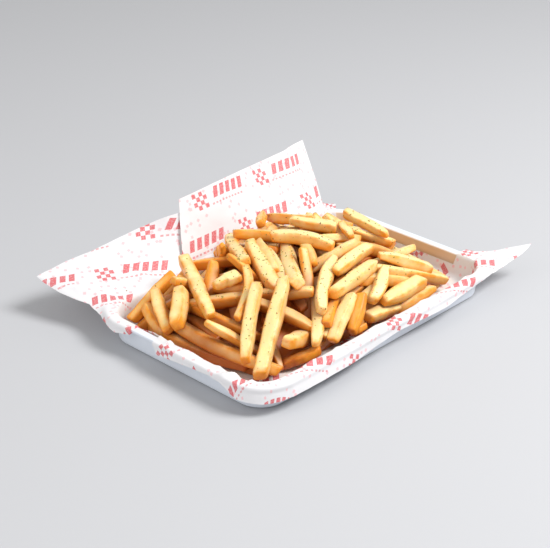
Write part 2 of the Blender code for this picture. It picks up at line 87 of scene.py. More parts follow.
def add_node(
    tree: bpy.types.NodeTree, kind: str, settings: dict[str, Any] | None = None,
    inputs: dict[Any, Any] | None = None
) -> bpy.types.Node:
    """Adds a shader node with its settings, its values and its links.

    Args:
        tree: The node tree to add to.
        kind: The node's type name.
        settings: Properties to set on the node.
        inputs: A value or another node's output for each input, by name or by place.

    Returns:
        The new node.
    """
    node = tree.nodes.new(kind)
    for name, value in (settings or {}).items():
        setattr(node, name, value)
    for key, value in (inputs or {}).items():
        if isinstance(value, bpy.types.NodeSocket):
            tree.links.new(value, node.inputs[key])
        else:
            node.inputs[key].default_value = value
    return node


def blank_material(name: str) -> tuple[bpy.types.Material, bpy.types.NodeTree, bpy.types.Node]:
    """Makes a material with a bare Principled shader.

    Args:
        name: The material's name.

    Returns:
        The material, its node tree and its shader.
    """
    material = bpy.data.materials.new(name)
    material.use_nodes = True
    return material, material.node_tree, material.node_tree.nodes["Principled BSDF"]


def select_only(piece: bpy.types.Object) -> None:
    """Deselects everything and makes one object selected and active.

    Args:
        piece: The object.
    """
    bpy.ops.object.select_all(action="DESELECT")
    piece.select_set(True)
    bpy.context.view_layer.objects.active = piece


def apply_modifier(piece: bpy.types.Object, kind: str, **settings: Any) -> None:
    """Adds a modifier to an object and applies it.

    Args:
        piece: The object.
        kind: The modifier's type.
        settings: The modifier's properties.
    """
    modifier = piece.modifiers.new(kind.title(), kind)
    for name, value in settings.items():
        setattr(modifier, name, value)
    select_only(piece)
    bpy.ops.object.modifier_apply(modifier=modifier.name)


def set_points(piece: bpy.types.Object, points: np.ndarray) -> None:
    """Moves a mesh's vertices to places in millimetres."""
    piece.data.vertices.foreach_set("co", (np.asarray(points, np.float64) * MM).ravel())
    piece.data.update()


def get_points(piece: bpy.types.Object) -> np.ndarray:
    """Reads a mesh's vertices.

    Args:
        piece: The object.

    Returns:
        Their places in millimetres.
    """
    points = np.empty(len(piece.data.vertices) * 3)
    piece.data.vertices.foreach_get("co", points)
    return points.reshape(-1, 3) / MM


def get_normals(piece: bpy.types.Object) -> np.ndarray:
    """Reads the normals at a mesh's vertices.

    Args:
        piece: The object.

    Returns:
        One unit normal for each vertex.
    """
    normals = np.empty(len(piece.data.vertices) * 3)
    piece.data.vertex_normals.foreach_get("vector", normals)
    return normals.reshape(-1, 3)


def pattern_scale(size_mm: float) -> float:
    """Turns a pattern's real size into a texture's scale over coordinates in metres."""
    return 1.0 / (size_mm * MM)


def paint(mesh: bpy.types.Mesh, name: str, values: Iterable[float]) -> None:
    """Stores one number for each vertex of a mesh under a name that its material reads."""
    attribute = mesh.attributes.get(name) or mesh.attributes.new(name, "FLOAT", "POINT")
    attribute.data.foreach_set("value", np.asarray(list(values), np.float32))


def shade_smooth(piece: bpy.types.Object, degrees: float = 180.0) -> None:
    """Shades a piece smooth, apart from edges sharper than an angle."""
    select_only(piece)
    bpy.ops.object.shade_smooth_by_angle(angle=math.radians(degrees))


def hand_over(piece: bpy.types.Object, material: bpy.types.Material, slot: Slot,
              *nodes: str) -> bpy.types.Object:
    """Dresses a finished piece and sets it on the frame.

    Args:
        piece: The finished piece.
        material: Its finish.
        slot: The record's slot for that finish; not used.
        nodes: The frame's nodes that it stands for.

    Returns:
        The piece.
    """
    piece.data.materials.clear()
    piece.data.materials.append(material)
    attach(piece, BODY)
    if nodes:
        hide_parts(*nodes)
    LOG.info("%s: %d faces", piece.name, len(piece.data.polygons))
    return piece


@dataclass(frozen=True)
class MouldedPlastic:
    """White moulded melamine, smooth and glossy: a clean cool white, with a painted tan reflection of the fries on
    the inner wall.
    """

    name: str = "melamine_white_moulded"
    colour: str = "E1E7F0"
    fries_reflection_tint: str = "DDBB93"
    roughness: float = 0.28
    grain_mm: float = 1.6
    handled_mm: float = 33.33

    def make(self) -> bpy.types.Material:
        """Makes the material.

        Returns:
            The material.
        """
        material, tree, shader = blank_material(self.name)
        coordinates = add_node(tree, "ShaderNodeTexCoord").outputs["Object"]
        grain = add_node(tree, "ShaderNodeTexNoise", None, {
            "Vector": coordinates, "Scale": pattern_scale(self.grain_mm),
        })
        handled = add_node(tree, "ShaderNodeTexNoise", None, {
            "Vector": coordinates, "Scale": pattern_scale(self.handled_mm), "Detail": 3.0,
        })
        rough = add_node(tree, "ShaderNodeMapRange", None, {
            "Value": handled.outputs["Fac"], "To Min": self.roughness - 0.05, "To Max": self.roughness + 0.1,
        })
        bump = add_node(tree, "ShaderNodeBump", None, {
            "Height": grain.outputs["Fac"], "Strength": 0.04, "Distance": 0.1 * MM,
        })
        # The inner wall below the lip is painted tan in patches, as a reflection of the fries.
        painted_fries_reflection = add_node(tree, "ShaderNodeAttribute", {"attribute_name": "painted_fries_reflection"}).outputs["Fac"]
        reflection_patches = add_node(tree, "ShaderNodeMapRange", None, {
            "Value": handled.outputs["Fac"], "From Min": 0.3, "From Max": 0.6, "To Min": 0.7, "To Max": 1.0,
        })
        share = add_node(tree, "ShaderNodeMath", {"operation": "MULTIPLY"},
                         {0: painted_fries_reflection, 1: reflection_patches.outputs["Result"]})
        colour = add_node(tree, "ShaderNodeMix", {"data_type": "RGBA"}, {
            "Factor": share.outputs[0], 6: linear(self.colour), 7: linear(self.fries_reflection_tint),
        })
        tree.links.new(colour.outputs[2], shader.inputs["Base Color"])
        tree.links.new(rough.outputs["Result"], shader.inputs["Roughness"])
        tree.links.new(bump.outputs["Normal"], shader.inputs["Normal"])
        shader.inputs["IOR"].default_value = 1.6
        return material


@dataclass(frozen=True)
class PrintedPaper:
    """Greaseproof paper, calendered white and printed in one red: soft sheen, fine fibre and faint crinkles.

    The print is a generic one: short slanted bars behind a small patch of checks, over a thin dashed line, in rows
    that run slantwise over the sheet with every other row moved on by half, and pale confetti between them.
    """

    name: str = "greaseproof_paper_printed"
    white: str = "E2E1E3"
    red: str = "CF4C52"
    pale: str = "EDBDC1"
    grease_and_shade_tint: str = "E9DCC8"
    turn_deg: float = 24.0
    shift_mm: tuple[float, float] = (7.0, 5.0)
    repeat_mm: tuple[float, float] = (66.0, 29.0)
    motif_scale: float = 1.6
    slant: float = 0.35
    bar_every: float = 4.2
    bar_wide: float = 2.7
    bars_at: tuple[float, float] = (5.1, 0.8)
    bars_half: tuple[float, float] = (10.45, 2.4)
    checks_at: tuple[float, float] = (-12.0, -0.6)
    checks_half: float = 3.8
    check_side: float = 1.9
    dash_every: float = 2.1
    dash_long: float = 1.2
    dashes_at: float = -3.9
    dashes_half: float = 0.42
    confetti: Table = ((7.5, 0.19), (9.75, 0.1))
    confetti_left_out: float = 0.4
    worn_mm: float = 1.111
    stain_mm: float = 23.81
    crinkle_mm: float = 16.67
    fibre_mm: float = 1.111

    def print_steps(self) -> tuple[tuple[Any, ...], ...]:
        """The print as steps of arithmetic on a place's X and Y over the sheet.

        Returns:
            For each step a name, an operation, and its values or the names of earlier steps.
        """
        wide, high = self.repeat_mm
        steps = [
            ("row", "DIVIDE", "Y", high), ("row", "FLOOR", "row"), ("odd", "FLOORED_MODULO", "row", 2.0),
            ("along", "MULTIPLY_ADD", "odd", 0.5 * wide, "X"), ("x", "FLOORED_MODULO", "along", wide),
            ("x", "SUBTRACT", "x", 0.5 * wide), ("x", "DIVIDE", "x", self.motif_scale),
            ("y", "FLOORED_MODULO", "Y", high), ("y", "SUBTRACT", "y", 0.5 * high),
            ("y", "DIVIDE", "y", self.motif_scale),
            ("check_x", "SUBTRACT", "x", self.checks_at[0]), ("check_y", "SUBTRACT", "y", self.checks_at[1]),
            ("slanted", "MULTIPLY_ADD", "y", -self.slant, "x"),
            ("bars", "FLOORED_MODULO", "slanted", self.bar_every),
            ("bars", "LESS_THAN", "bars", self.bar_wide),
            ("column", "DIVIDE", "check_x", self.check_side), ("column", "FLOOR", "column"),
            ("line", "DIVIDE", "check_y", self.check_side), ("line", "FLOOR", "line"),
            ("checks", "ADD", "column", "line"), ("checks", "FLOORED_MODULO", "checks", 2.0),
            ("dashes", "FLOORED_MODULO", "x", self.dash_every),
            ("dashes", "LESS_THAN", "dashes", self.dash_long),
        ]
        for shape, place, middle, half in (
            ("bars", "slanted", self.bars_at[0], self.bars_half[0]),
            ("bars", "y", self.bars_at[1], self.bars_half[1]),
            ("checks", "check_x", 0.0, self.checks_half), ("checks", "check_y", 0.0, self.checks_half),
            ("dashes", "y", self.dashes_at, self.dashes_half),
            ("dashes", "slanted", self.bars_at[0], self.bars_half[0]),
        ):
            steps += [
                ("inside", "SUBTRACT", place, middle), ("inside", "ABSOLUTE", "inside"),
                ("inside", "LESS_THAN", "inside", half), (shape, "MULTIPLY", shape, "inside"),
            ]
        for number, (_, reach) in enumerate(self.confetti):
            steps += [
                (f"bit_{number}", "LESS_THAN", f"distance_{number}", reach),
                ("kept", "GREATER_THAN", f"chance_{number}", self.confetti_left_out),
                (f"bit_{number}", "MULTIPLY", f"bit_{number}", "kept"),
            ]
        return (
            *steps, ("dashes", "MULTIPLY", "dashes", 0.7), ("ink", "MAXIMUM", "bars", "checks"),
            ("ink", "MAXIMUM", "ink", "dashes"), ("ink", "MULTIPLY", "ink", "worn"),
            ("confetti", "MAXIMUM", "bit_0", "bit_1"), ("confetti", "MULTIPLY", "confetti", 0.85),
            ("grease_and_shade", "MULTIPLY", "near", "stain"), ("relief", "MULTIPLY_ADD", "fibre", 0.06, "crinkle"),
        )

    def make(self) -> bpy.types.Material:
        """Makes the material.

        Returns:
            The material.
        """
        material, tree, shader = blank_material(self.name)
        coordinates = add_node(tree, "ShaderNodeTexCoord").outputs["Object"]
        flat = add_node(tree, "ShaderNodeUVMap", {"uv_map": "flat"}).outputs["UV"]
        turned = add_node(tree, "ShaderNodeMapping", None, {
            "Vector": flat, "Rotation": (0.0, 0.0, math.radians(self.turn_deg)),
            "Location": (*self.shift_mm, 0.0),
        })
        place = add_node(tree, "ShaderNodeSeparateXYZ", None, {0: turned.outputs[0]})
        made = {"X": place.outputs["X"], "Y": place.outputs["Y"]}
        # The grease mark stands for grease stains and for painted shade under the heap; the stain noise makes it
        # patchy.
        made["near"] = add_node(tree, "ShaderNodeAttribute", {"attribute_name": "grease_and_shade"}).outputs["Fac"]
        for number, (distance, (size, _)) in enumerate(zip(("MANHATTAN", "CHEBYCHEV"), self.confetti)):
            cells = add_node(tree, "ShaderNodeTexVoronoi", {"distance": distance, "voronoi_dimensions": "2D"}, {
                "Vector": flat, "Scale": 1.0 / size, "Randomness": 1.0,
            })
            chance = add_node(tree, "ShaderNodeSeparateColor", None, {0: cells.outputs["Color"]})
            made[f"distance_{number}"] = cells.outputs["Distance"]
            made[f"chance_{number}"] = chance.outputs["Red"]
        # The fibre is drawn coarser than a real one, or it would not show.
        for name, over, scale, detail, more in (
            ("worn", flat, 1.0 / self.worn_mm, 4.0, {}),
            ("stain", coordinates, pattern_scale(self.stain_mm), 3.0, {}),
            ("fibre", coordinates, pattern_scale(self.fibre_mm), 2.0, {}),
            ("crinkle", coordinates, pattern_scale(self.crinkle_mm), 6.0,
             {"Roughness": 0.6, "Distortion": 0.6}),
        ):
            made[name] = add_node(tree, "ShaderNodeTexNoise", None, {
                "Vector": over, "Scale": scale, "Detail": detail, **more,
            }).outputs["Fac"]
        for name, low, high, least, most in (("worn", 0.3, 0.55, 0.58, 0.9),
                                             ("stain", 0.42, 0.6, 0.15, 0.85)):
            made[name] = add_node(tree, "ShaderNodeMapRange", None, {
                "Value": made[name], "From Min": low, "From Max": high, "To Min": least, "To Max": most,
            }).outputs["Result"]
        for name, operation, *values in self.print_steps():
            inputs = {at: made[value] if isinstance(value, str) else value for at, value in enumerate(values)}
            made[name] = add_node(tree, "ShaderNodeMath", {"operation": operation}, inputs).outputs[0]
        colour = linear(self.white)
        for share, over in (("grease_and_shade", self.grease_and_shade_tint), ("confetti", self.pale), ("ink", self.red)):
            colour = add_node(tree, "ShaderNodeMix", {"data_type": "RGBA"}, {
                "Factor": made[share], 6: colour, 7: linear(over),
            }).outputs[2]
        bump = add_node(tree, "ShaderNodeBump", None, {
            "Height": made["relief"], "Strength": 0.22, "Distance": 1.0 * MM,
        })
        tree.links.new(colour, shader.inputs["Base Color"])
        tree.links.new(bump.outputs["Normal"], shader.inputs["Normal"])
        shader.inputs["Roughness"].default_value = 0.52
        shader.inputs["IOR"].default_value = 1.45
        return material


@dataclass(frozen=True)
class FriedPotato:
    """Deep-fried potato: a pale golden skin, blistered by the oil, that browns along its edges and tips, with
    painted shade deep in the heap.
    """

    name: str = "potato_deep_fried"
    pale: str = "F5DFA0"
    golden: str = "EEA136"
    brown: str = "CB7020"
    depth_shade_colour: str = "9A3E12"
    roughness: float = 0.38
    patch_mm: float = 9.0909
    mottle_mm: float = 2.381
    spot_mm: float = 1.3158
    blister_mm: float = 1.6129
    wrinkle_mm: float = 0.66667

    def make(self) -> bpy.types.Material:
        """Makes the material.

        Returns:
            The material.
        """
        material, tree, shader = blank_material(self.name)
        coordinates = add_node(tree, "ShaderNodeTexCoord").outputs["Object"]
        made = {}
        for name in ("tone", "crisp", "depth_shade"):
            made[name] = add_node(tree, "ShaderNodeAttribute", {"attribute_name": name}).outputs["Fac"]
        for name, size, detail, rough in (
            ("patch", self.patch_mm, 3.0, 0.5), ("mottle", self.mottle_mm, 5.0, 0.62),
            ("spots", self.spot_mm, 2.0, 0.5), ("wrinkle", self.wrinkle_mm, 4.0, 0.7),
        ):
            made[name] = add_node(tree, "ShaderNodeTexNoise", None, {
                "Vector": coordinates, "Scale": pattern_scale(size), "Detail": detail, "Roughness": rough,
            }).outputs["Fac"]
        made["blister"] = add_node(tree, "ShaderNodeTexVoronoi", {"feature": "SMOOTH_F1"}, {
            "Vector": coordinates, "Scale": pattern_scale(self.blister_mm), "Smoothness": 0.8,
        }).outputs["Distance"]
        for name, source, clamp, low, high, least, most in (
            ("change", "patch", False, 0.3, 0.7, -0.2, 0.2), ("at_edge", "patch", True, 0.38, 0.6, 0.35, 1.0),
            ("edge", "mottle", True, 0.4, 0.66, 0.05, 0.5), ("spots", "spots", True, 0.7, 0.78, 0.0, 0.22),
            ("rough", "mottle", True, 0.0, 1.0, self.roughness - 0.12, self.roughness + 0.14),
        ):
            made[name] = add_node(tree, "ShaderNodeMapRange", {"clamp": clamp}, {
                "Value": made[source], "From Min": low, "From Max": high, "To Min": least, "To Max": most,
            }).outputs["Result"]
        for name, operation, clamp, *values in (
            ("uneven", "ADD", False, "tone", "change"), ("edges", "POWER", True, "crisp", 1.6),
            ("edges", "MULTIPLY", True, "edges", "at_edge"),
            ("share", "MULTIPLY_ADD", False, "edges", 0.9, "uneven"),
            ("browner", "SUBTRACT", True, "share", 1.05), ("browner", "MULTIPLY", True, "browner", 0.8),
            ("corner", "POWER", True, "crisp", 3.0), ("corner", "MULTIPLY", True, "corner", "edge"),
            ("depth_shade", "MULTIPLY", True, "depth_shade", 0.8), ("relief", "ADD", False, "blister", "wrinkle"),
        ):
            inputs = {at: made[value] if isinstance(value, str) else value for at, value in enumerate(values)}
            settings = {"operation": operation, "use_clamp": clamp}
            made[name] = add_node(tree, "ShaderNodeMath", settings, inputs).outputs[0]
        # Painted shade: the tone attribute is raised on faces turned down, and the dark colour is painted where
        # the skin lies deep under the heap's top.
        skin = linear(self.pale)
        for share, over in (
            ("share", self.golden), ("browner", self.brown), ("corner", self.brown), ("spots", self.brown),
            ("depth_shade", self.depth_shade_colour),
        ):
            skin = add_node(tree, "ShaderNodeMix", {"data_type": "RGBA"}, {
                "Factor": made[share], 6: skin, 7: linear(over),
            }).outputs[2]
        bump = add_node(tree, "ShaderNodeBump", None, {
            "Height": made["relief"], "Strength": 0.17, "Distance": 0.3 * MM,
        })
        tree.links.new(skin, shader.inputs["Base Color"])
        tree.links.new(bump.outputs["Normal"], shader.inputs["Normal"])
        tree.links.new(made["rough"], shader.inputs["Roughness"])
        shader.inputs["IOR"].default_value = 1.42
        shader.inputs["Subsurface Weight"].default_value = 0.4
        shader.inputs["Subsurface Radius"].default_value = (1.0, 0.5, 0.1)
        shader.inputs["Subsurface Scale"].default_value = 2.2 * MM
        return material


@dataclass(frozen=True)
class DriedHerb:
    """Dried herb and cracked pepper: dull flakes from olive green to nearly black."""

    name: str = "herb_dried_flaked"
    green: str = "A0943C"
    black: str = "7C5C2C"
    fleck_mm: float = 0.4

    def make(self) -> bpy.types.Material:
        """Makes the material.

        Returns:
            The material.
        """
        material, tree, shader = blank_material(self.name)
        coordinates = add_node(tree, "ShaderNodeTexCoord").outputs["Object"]
        kind = add_node(tree, "ShaderNodeAttribute", {"attribute_name": "kind"}).outputs["Fac"]
        fleck = add_node(tree, "ShaderNodeTexNoise", None, {
            "Vector": coordinates, "Scale": pattern_scale(self.fleck_mm),
        })
        share = add_node(tree, "ShaderNodeMath", {"operation": "MULTIPLY_ADD", "use_clamp": True}, {
            0: fleck.outputs["Fac"], 1: 0.3, 2: kind,
        })
        colour = add_node(tree, "ShaderNodeMix", {"data_type": "RGBA"}, {
            "Factor": share.outputs[0], 6: linear(self.green), 7: linear(self.black),
        })
        tree.links.new(colour.outputs[2], shader.inputs["Base Color"])
        shader.inputs["Roughness"].default_value = 0.75
        return material


@dataclass(frozen=True)
class StudioFloor:
    """A matt painted board, pale and even."""

    name: str = "board_painted_matt"
    colour: str = "BCBDC0"
    tooth_mm: float = 1.4286

    def make(self) -> bpy.types.Material:
        """Makes the material.

        Returns:
            The material.
        """
        material, tree, shader = blank_material(self.name)
        coordinates = add_node(tree, "ShaderNodeTexCoord").outputs["Object"]
        tooth = add_node(tree, "ShaderNodeTexNoise", None, {
            "Vector": coordinates, "Scale": pattern_scale(self.tooth_mm),
        })
        bump = add_node(tree, "ShaderNodeBump", None, {"Height": tooth.outputs["Fac"], "Strength": 0.02})
        tree.links.new(bump.outputs["Normal"], shader.inputs["Normal"])
        shader.inputs["Base Color"].default_value = linear(self.colour)
        shader.inputs["Roughness"].default_value = 0.8
        return material


@dataclass(frozen=True)
class TrayShape:
    """The tray's driving sizes, which the paper and the heap are fitted to."""

    base_half: tuple[float, float] = (111.0, 70.0)
    base_corner: float = 18.0
    height: float = 19.0
    floor_top: float = 2.2
    lip_out: float = 6.0
    lip_top_width: float = 5.0

    def spot_at(self, way: float, offset: float) -> tuple[float, float, float, float]:
        """Finds a place on the base's rounded outline moved out by an offset.

        Args:
            way: The length round the lip.
            offset: How far out of the base's outline.

        Returns:
            The place's x and y, and its outward direction.
        """
        flats = (self.base_half[0] - self.base_corner, self.base_half[1] - self.base_corner)
        lip = self.base_corner + self.lip_out
        radius = self.base_corner + offset
        for side in range(4):
            turn = math.radians(90 * side - 90)
            half, reach = flats if side % 2 == 0 else flats[::-1]
            out = (math.cos(turn), math.sin(turn))
            if way <= 2 * half:
                at = way - half
                return (-out[1] * at + out[0] * (reach + radius), out[0] * at + out[1] * (reach + radius),
                        *out)
            way -= 2 * half
            if way < lip * math.radians(90) or side == 3:
                angle = turn + way / lip
                middle = (-out[1] * half + out[0] * reach, out[0] * half + out[1] * reach)
                x_out, y_out = math.cos(angle), math.sin(angle)
                return (middle[0] + radius * x_out, middle[1] + radius * y_out, x_out, y_out)
            way -= lip * math.radians(90)
        raise ValueError("a way past the whole lip")

    def all_round(self) -> float:
        """The whole way round the lip."""
        straight = 4.0 * (self.base_half[0] + self.base_half[1] - 2.0 * self.base_corner)
        return straight + 2.0 * math.pi * (self.base_corner + self.lip_out)

    def wall_distance(self, x: Any, y: Any) -> Any:
        """Measures how far outside the base's outline places lie, below nought inside it.

        Args:
            x: The places' x, a number or an array.
            y: The places' y, likewise.

        Returns:
            The distance of each place.
        """
        right = np.abs(x) - (self.base_half[0] - self.base_corner)
        far = np.abs(y) - (self.base_half[1] - self.base_corner)
        outside = np.hypot(np.maximum(right, 0.0), np.maximum(far, 0.0))
        return outside + np.minimum(np.maximum(right, far), 0.0) - self.base_corner


@dataclass
class ServingTray:
    """The shallow moulded tray with a flat lip."""

    shape: TrayShape
    finish: MouldedPlastic = field(default_factory=MouldedPlastic)
    corner_segments: int = 22
    edge_round: float = 0.45

    def build(self) -> bpy.types.Object:
        """Builds the tray out of one block: its top is sunk by insets and its underside drawn in by others.

        Returns:
            The tray.
        """
        shape = self.shape
        lip_low, lip_high = shape.height - 1.6, shape.height - 0.55
        half = [value + shape.lip_out for value in shape.base_half]
        bpy.ops.object.select_all(action="DESELECT")
        bpy.ops.mesh.primitive_cube_add(size=2.0, location=(0.0, 0.0, 0.5 * MM * (lip_low + lip_high)))
        tray = bpy.context.object
        tray.name = "serving_tray"
        tray.scale = (MM * half[0], MM * half[1], 0.5 * MM * (lip_high - lip_low))
        bpy.ops.object.transform_apply(location=True, rotation=True, scale=True)
        bpy.ops.object.mode_set(mode="EDIT")
        self.select(tray, lambda edge: abs(edge.verts[0].co.z - edge.verts[1].co.z) > 0.5 * MM, "EDGE")
        bpy.ops.mesh.bevel(
            offset=MM * (shape.base_corner + shape.lip_out), segments=self.corner_segments, affect="EDGES"
        )
        inner = shape.lip_out - shape.lip_top_width
        inside = (
            (0.25, 0.38), (0.75, 0.17), (1.3, 0.0), (0.25, -0.3), (shape.lip_top_width - 2.55, 0.0),
            (0.9, -0.6),
            (inner + 0.7, -(shape.height - 0.9 - shape.floor_top - 3.0)), (1.0, -2.1), (2.0, -0.9),
            (12.0, 0.0),
        )
        self.draw_in(tray, 1.0, inside)
        outside = (
            (0.6, 0.9), (1.8, 0.2), (2.0, 0.7), (1.6, shape.height - 3.4 - 1.8), (0.6, 1.1), (2.4, 0.7),
            (12.0, 0.0),
        )
        self.draw_in(tray, -1.0, outside)
        bpy.ops.object.mode_set(mode="OBJECT")
        apply_modifier(
            tray, "BEVEL", width=self.edge_round * MM, segments=3, limit_method="ANGLE",
            angle_limit=math.radians(12.0)
        )
        shade_smooth(tray, 30.0)
        points, normals = get_points(tray), get_normals(tray)
        # Painted reflection: the inward-facing wall below the lip is marked for the fries' warm reflection.
        inward = -(normals[:, :2] * points[:, :2]).sum(axis=1) / np.hypot(points[:, 0], points[:, 1])
        below_lip = np.clip((shape.height - 0.2 - points[:, 2]) / 0.8, 0.0, 1.0)
        paint(tray.data, "painted_fries_reflection", np.clip(3.0 * inward, 0.0, 1.0) * below_lip)
        return hand_over(tray, self.finish.make(), Slot.TRAY, "tray")

    @staticmethod
    def select(piece: bpy.types.Object, wanted: Any, kind: str) -> None:
        """Selects the edges or faces of the edited mesh that a test picks.

        Args:
            piece: The object in edit mode.
            wanted: The test, on an edge or a face.
            kind: EDGE or FACE.
        """
        bpy.ops.mesh.select_mode(type=kind)
        bpy.ops.mesh.select_all(action="DESELECT")
        shape = bmesh.from_edit_mesh(piece.data)
        for item in shape.edges if kind == "EDGE" else shape.faces:
            if wanted(item):
                item.select_set(True)
        bmesh.update_edit_mesh(piece.data)

    def draw_in(self, tray: bpy.types.Object, side: float, steps: Table) -> None:
        """Insets the block's top or underside step by step.

        Args:
            tray: The block in edit mode.
            side: 1 for the top, -1 for the underside.
            steps: How far in and how far along the outward normal each step goes.
        """
        self.select(tray, lambda face: face.normal.z * side > 0.9 and face.calc_area() > 1e-3, "FACE")
        for inward, outward in steps:
            bpy.ops.mesh.inset(thickness=inward * MM, depth=outward * MM, use_even_offset=True)


@dataclass
class PaperSheet:
    """What both sheets share: a line over the tray from its floor to its lip, and a loose tail past it."""

    shape: TrayShape
    finish: PrintedPaper
    lift: float
    thick: float = 0.22
    column_step: float = 2.0
    fold_round: float = 1.2
    ripple: float = 2.4
    ripple_grows: float = 30.0
    ripple_every: float = 17.0
    crumple: float = 0.7
    wrinkles: Table = ((21.0, 1.0), (8.0, 0.45), (3.4, 0.2))
    loose_over: float = 14.0
    sharp_deg: float = 24.0
    floor_from: float = -14.0
    rows_on_path: int = 37
    merge_mm: float = 0.02
    runs: Table = ()
    creases: Table = ()

    def lift_at(self, way: float) -> float:
        """How far the sheet lies over the tray at one way round the lip."""
        return self.lift

    def path(self, way: float) -> Table:
        """Finds the sheet's line over the tray.

        Args:
            way: The way round the lip.

        Returns:
            The offset and height at each fold.
        """
        shape, lift = self.shape, self.lift_at(way)
        inner = shape.lip_out - shape.lip_top_width
        return (
            (self.floor_from, shape.floor_top + lift),
            (-5.2 - lift, shape.floor_top + lift),
            (-2.4 - lift, shape.floor_top + 2.4 + lift),
            (inner - 0.9 - 1.1 * lift, shape.height - 1.2),
            (inner - 0.3 - 0.4 * lift, shape.height + lift),
            (shape.lip_out + 1.95 - 1.75 * lift, shape.height + lift),
        )

    def lip_length(self, way: float) -> float:
        """How long the line is up to the lip's outer edge."""
        path = self.path(way)
        return sum(math.dist(start, end) for start, end in zip(path, path[1:]))

    def path_point(self, way: float, along: float) -> np.ndarray:
        """Finds the offset and height at a length along the line.

        Args:
            way: The way round the lip.
            along: The length from the floor's end.

        Returns:
            The offset and the height.
        """
        path = self.path(way)
        for start, end in zip(path, path[1:]):
            length = math.dist(start, end)
            if along <= length or end == path[-1]:
                part = along / length
                return np.array(start) + part * (np.array(end) - np.array(start))
            along -= length
        return np.array(path[-1])

    def tail_point(self, way: float, tail: float, slope: float) -> np.ndarray:
        """Finds the offset and height of the loose part past the lip.

        Args:
            way: The way round the lip.
            tail: How far past the lip.
            slope: The slope that it leaves at, in degrees.

        Returns:
            The offset and the height.
        """
        start = self.path(way)[-1]
        ripple = self.ripple * min(tail / self.ripple_grows, 1.0) * math.sin(way / self.ripple_every)
        steep = math.radians(slope) * (0.5 + 0.5 * min(tail / 4.0, 1.0))
        return np.array((
            start[0] + tail * math.cos(steep) - ripple * math.sin(steep),
            start[1] + tail * math.sin(steep) + ripple * math.cos(steep),
        ))

    def place(self, way: float, along: float, slope: float, first: float = 0.0) -> np.ndarray:
        """Finds one point of the sheet, with its folds rounded.

        Args:
            way: The way round the lip.
            along: The length along the sheet from the floor outward.
            slope: The slope past the lip, in degrees.
            first: Where the sheet's line starts, below nought for further in over the floor.

        Returns:
            The point.
        """
        lip = self.lip_length(way)
        spread = min(self.fold_round, max(along - first, 0.0))
        profile = np.zeros(2)
        steps = (-1.0, -0.5, 0.0, 0.5, 1.0)
        for step in steps:
            at = along + step * spread
            profile += self.path_point(way, at) if at <= lip else self.tail_point(way, at - lip, slope)
        profile /= len(steps)
        x, y, x_out, y_out = self.shape.spot_at(way, 0.0)
        return np.array((x + x_out * profile[0], y + y_out * profile[0], profile[1]))

    def both_places(self, way: float, along: float, slope: float, first: float = 0.0) -> tuple[float, ...]:
        """Finds one point of the sheet both in its place and on the sheet laid flat.

        Args:
            way: The way round the lip.
            along: The length along the sheet from the floor outward.
            slope: The slope past the lip, in degrees.
            first: Where the sheet's line starts.

        Returns:
            The point's x, y and z, then its two coordinates on the flat sheet.
        """
        x, y, x_out, y_out = self.shape.spot_at(way, self.floor_from)
        return (*self.place(way, along, slope, first), x + x_out * along, y + y_out * along)

    def sheet_of(self, name: str, places: list[list[tuple[float, ...]]], closed: bool) -> bpy.types.Object:
        """Makes a sheet out of columns of points.

        Args:
            name: The piece's name.
            places: The points of each column, in place and laid flat.
            closed: Whether the last column meets the first.

        Returns:
            The sheet, one face thick.
        """
        points = np.array(places).transpose(1, 0, 2)
        points, flat = points[..., :3], points[..., 3:]
        rows, columns = points.shape[:2]
        bpy.ops.object.select_all(action="DESELECT")
        bpy.ops.mesh.primitive_grid_add(x_subdivisions=columns - 1, y_subdivisions=rows - 1, size=2.0)
        sheet = bpy.context.object
        sheet.name = name
        grid = get_points(sheet) * MM
        column = np.rint((grid[:, 0] + 1.0) * 0.5 * (columns - 1)).astype(int)
        row = np.rint((grid[:, 1] + 1.0) * 0.5 * (rows - 1)).astype(int)
        set_points(sheet, points[row, column])
        layer = sheet.data.uv_layers.active
        layer.name = "flat"
        corners = np.empty(len(sheet.data.loops), np.int64)
        sheet.data.loops.foreach_get("vertex_index", corners)
        layer.data.foreach_set("uv", flat[row, column][corners].ravel())
        select_only(sheet)
        bpy.ops.object.mode_set(mode="EDIT")
        bpy.ops.mesh.select_all(action="SELECT")
        bpy.ops.mesh.remove_doubles(threshold=self.merge_mm * MM)
        if closed:
            bpy.ops.mesh.select_all(action="DESELECT")
            bpy.ops.mesh.select_mode(type="EDGE")
            shape = bmesh.from_edit_mesh(sheet.data)
            for edge in shape.edges:
                middle = 0.5 * (edge.verts[0].co + edge.verts[1].co) / MM
                inside = self.shape.wall_distance(middle.x, middle.y) < self.floor_from + 1.0
                edge.select_set(edge.is_boundary and bool(inside))
            bmesh.update_edit_mesh(sheet.data)
            bpy.ops.mesh.edge_face_add()
        bpy.ops.mesh.select_all(action="SELECT")
        bpy.ops.mesh.normals_make_consistent(inside=False)
        bpy.ops.object.mode_set(mode="OBJECT")
        return sheet

    def finish_off(self, sheet: bpy.types.Object, node: str) -> bpy.types.Object:
        """Crumples a sheet a little, gives it its thickness and dresses it.

        Args:
            sheet: The sheet, one face thick.
            node: The frame's node that it stands for.

        Returns:
            The sheet.
        """
        points, normals = get_points(sheet), get_normals(sheet)
        out = self.shape.wall_distance(points[:, 0], points[:, 1])
        loose = np.clip(out / self.loose_over, 0.05, 1.0)
        for index, point in enumerate(points):
            bend = sum(share * noise.noise(Vector(point) / size) for size, share in self.wrinkles)
            points[index] = point + normals[index] * bend * self.crumple * loose[index]
        self.crease(points, out)
        set_points(sheet, points)
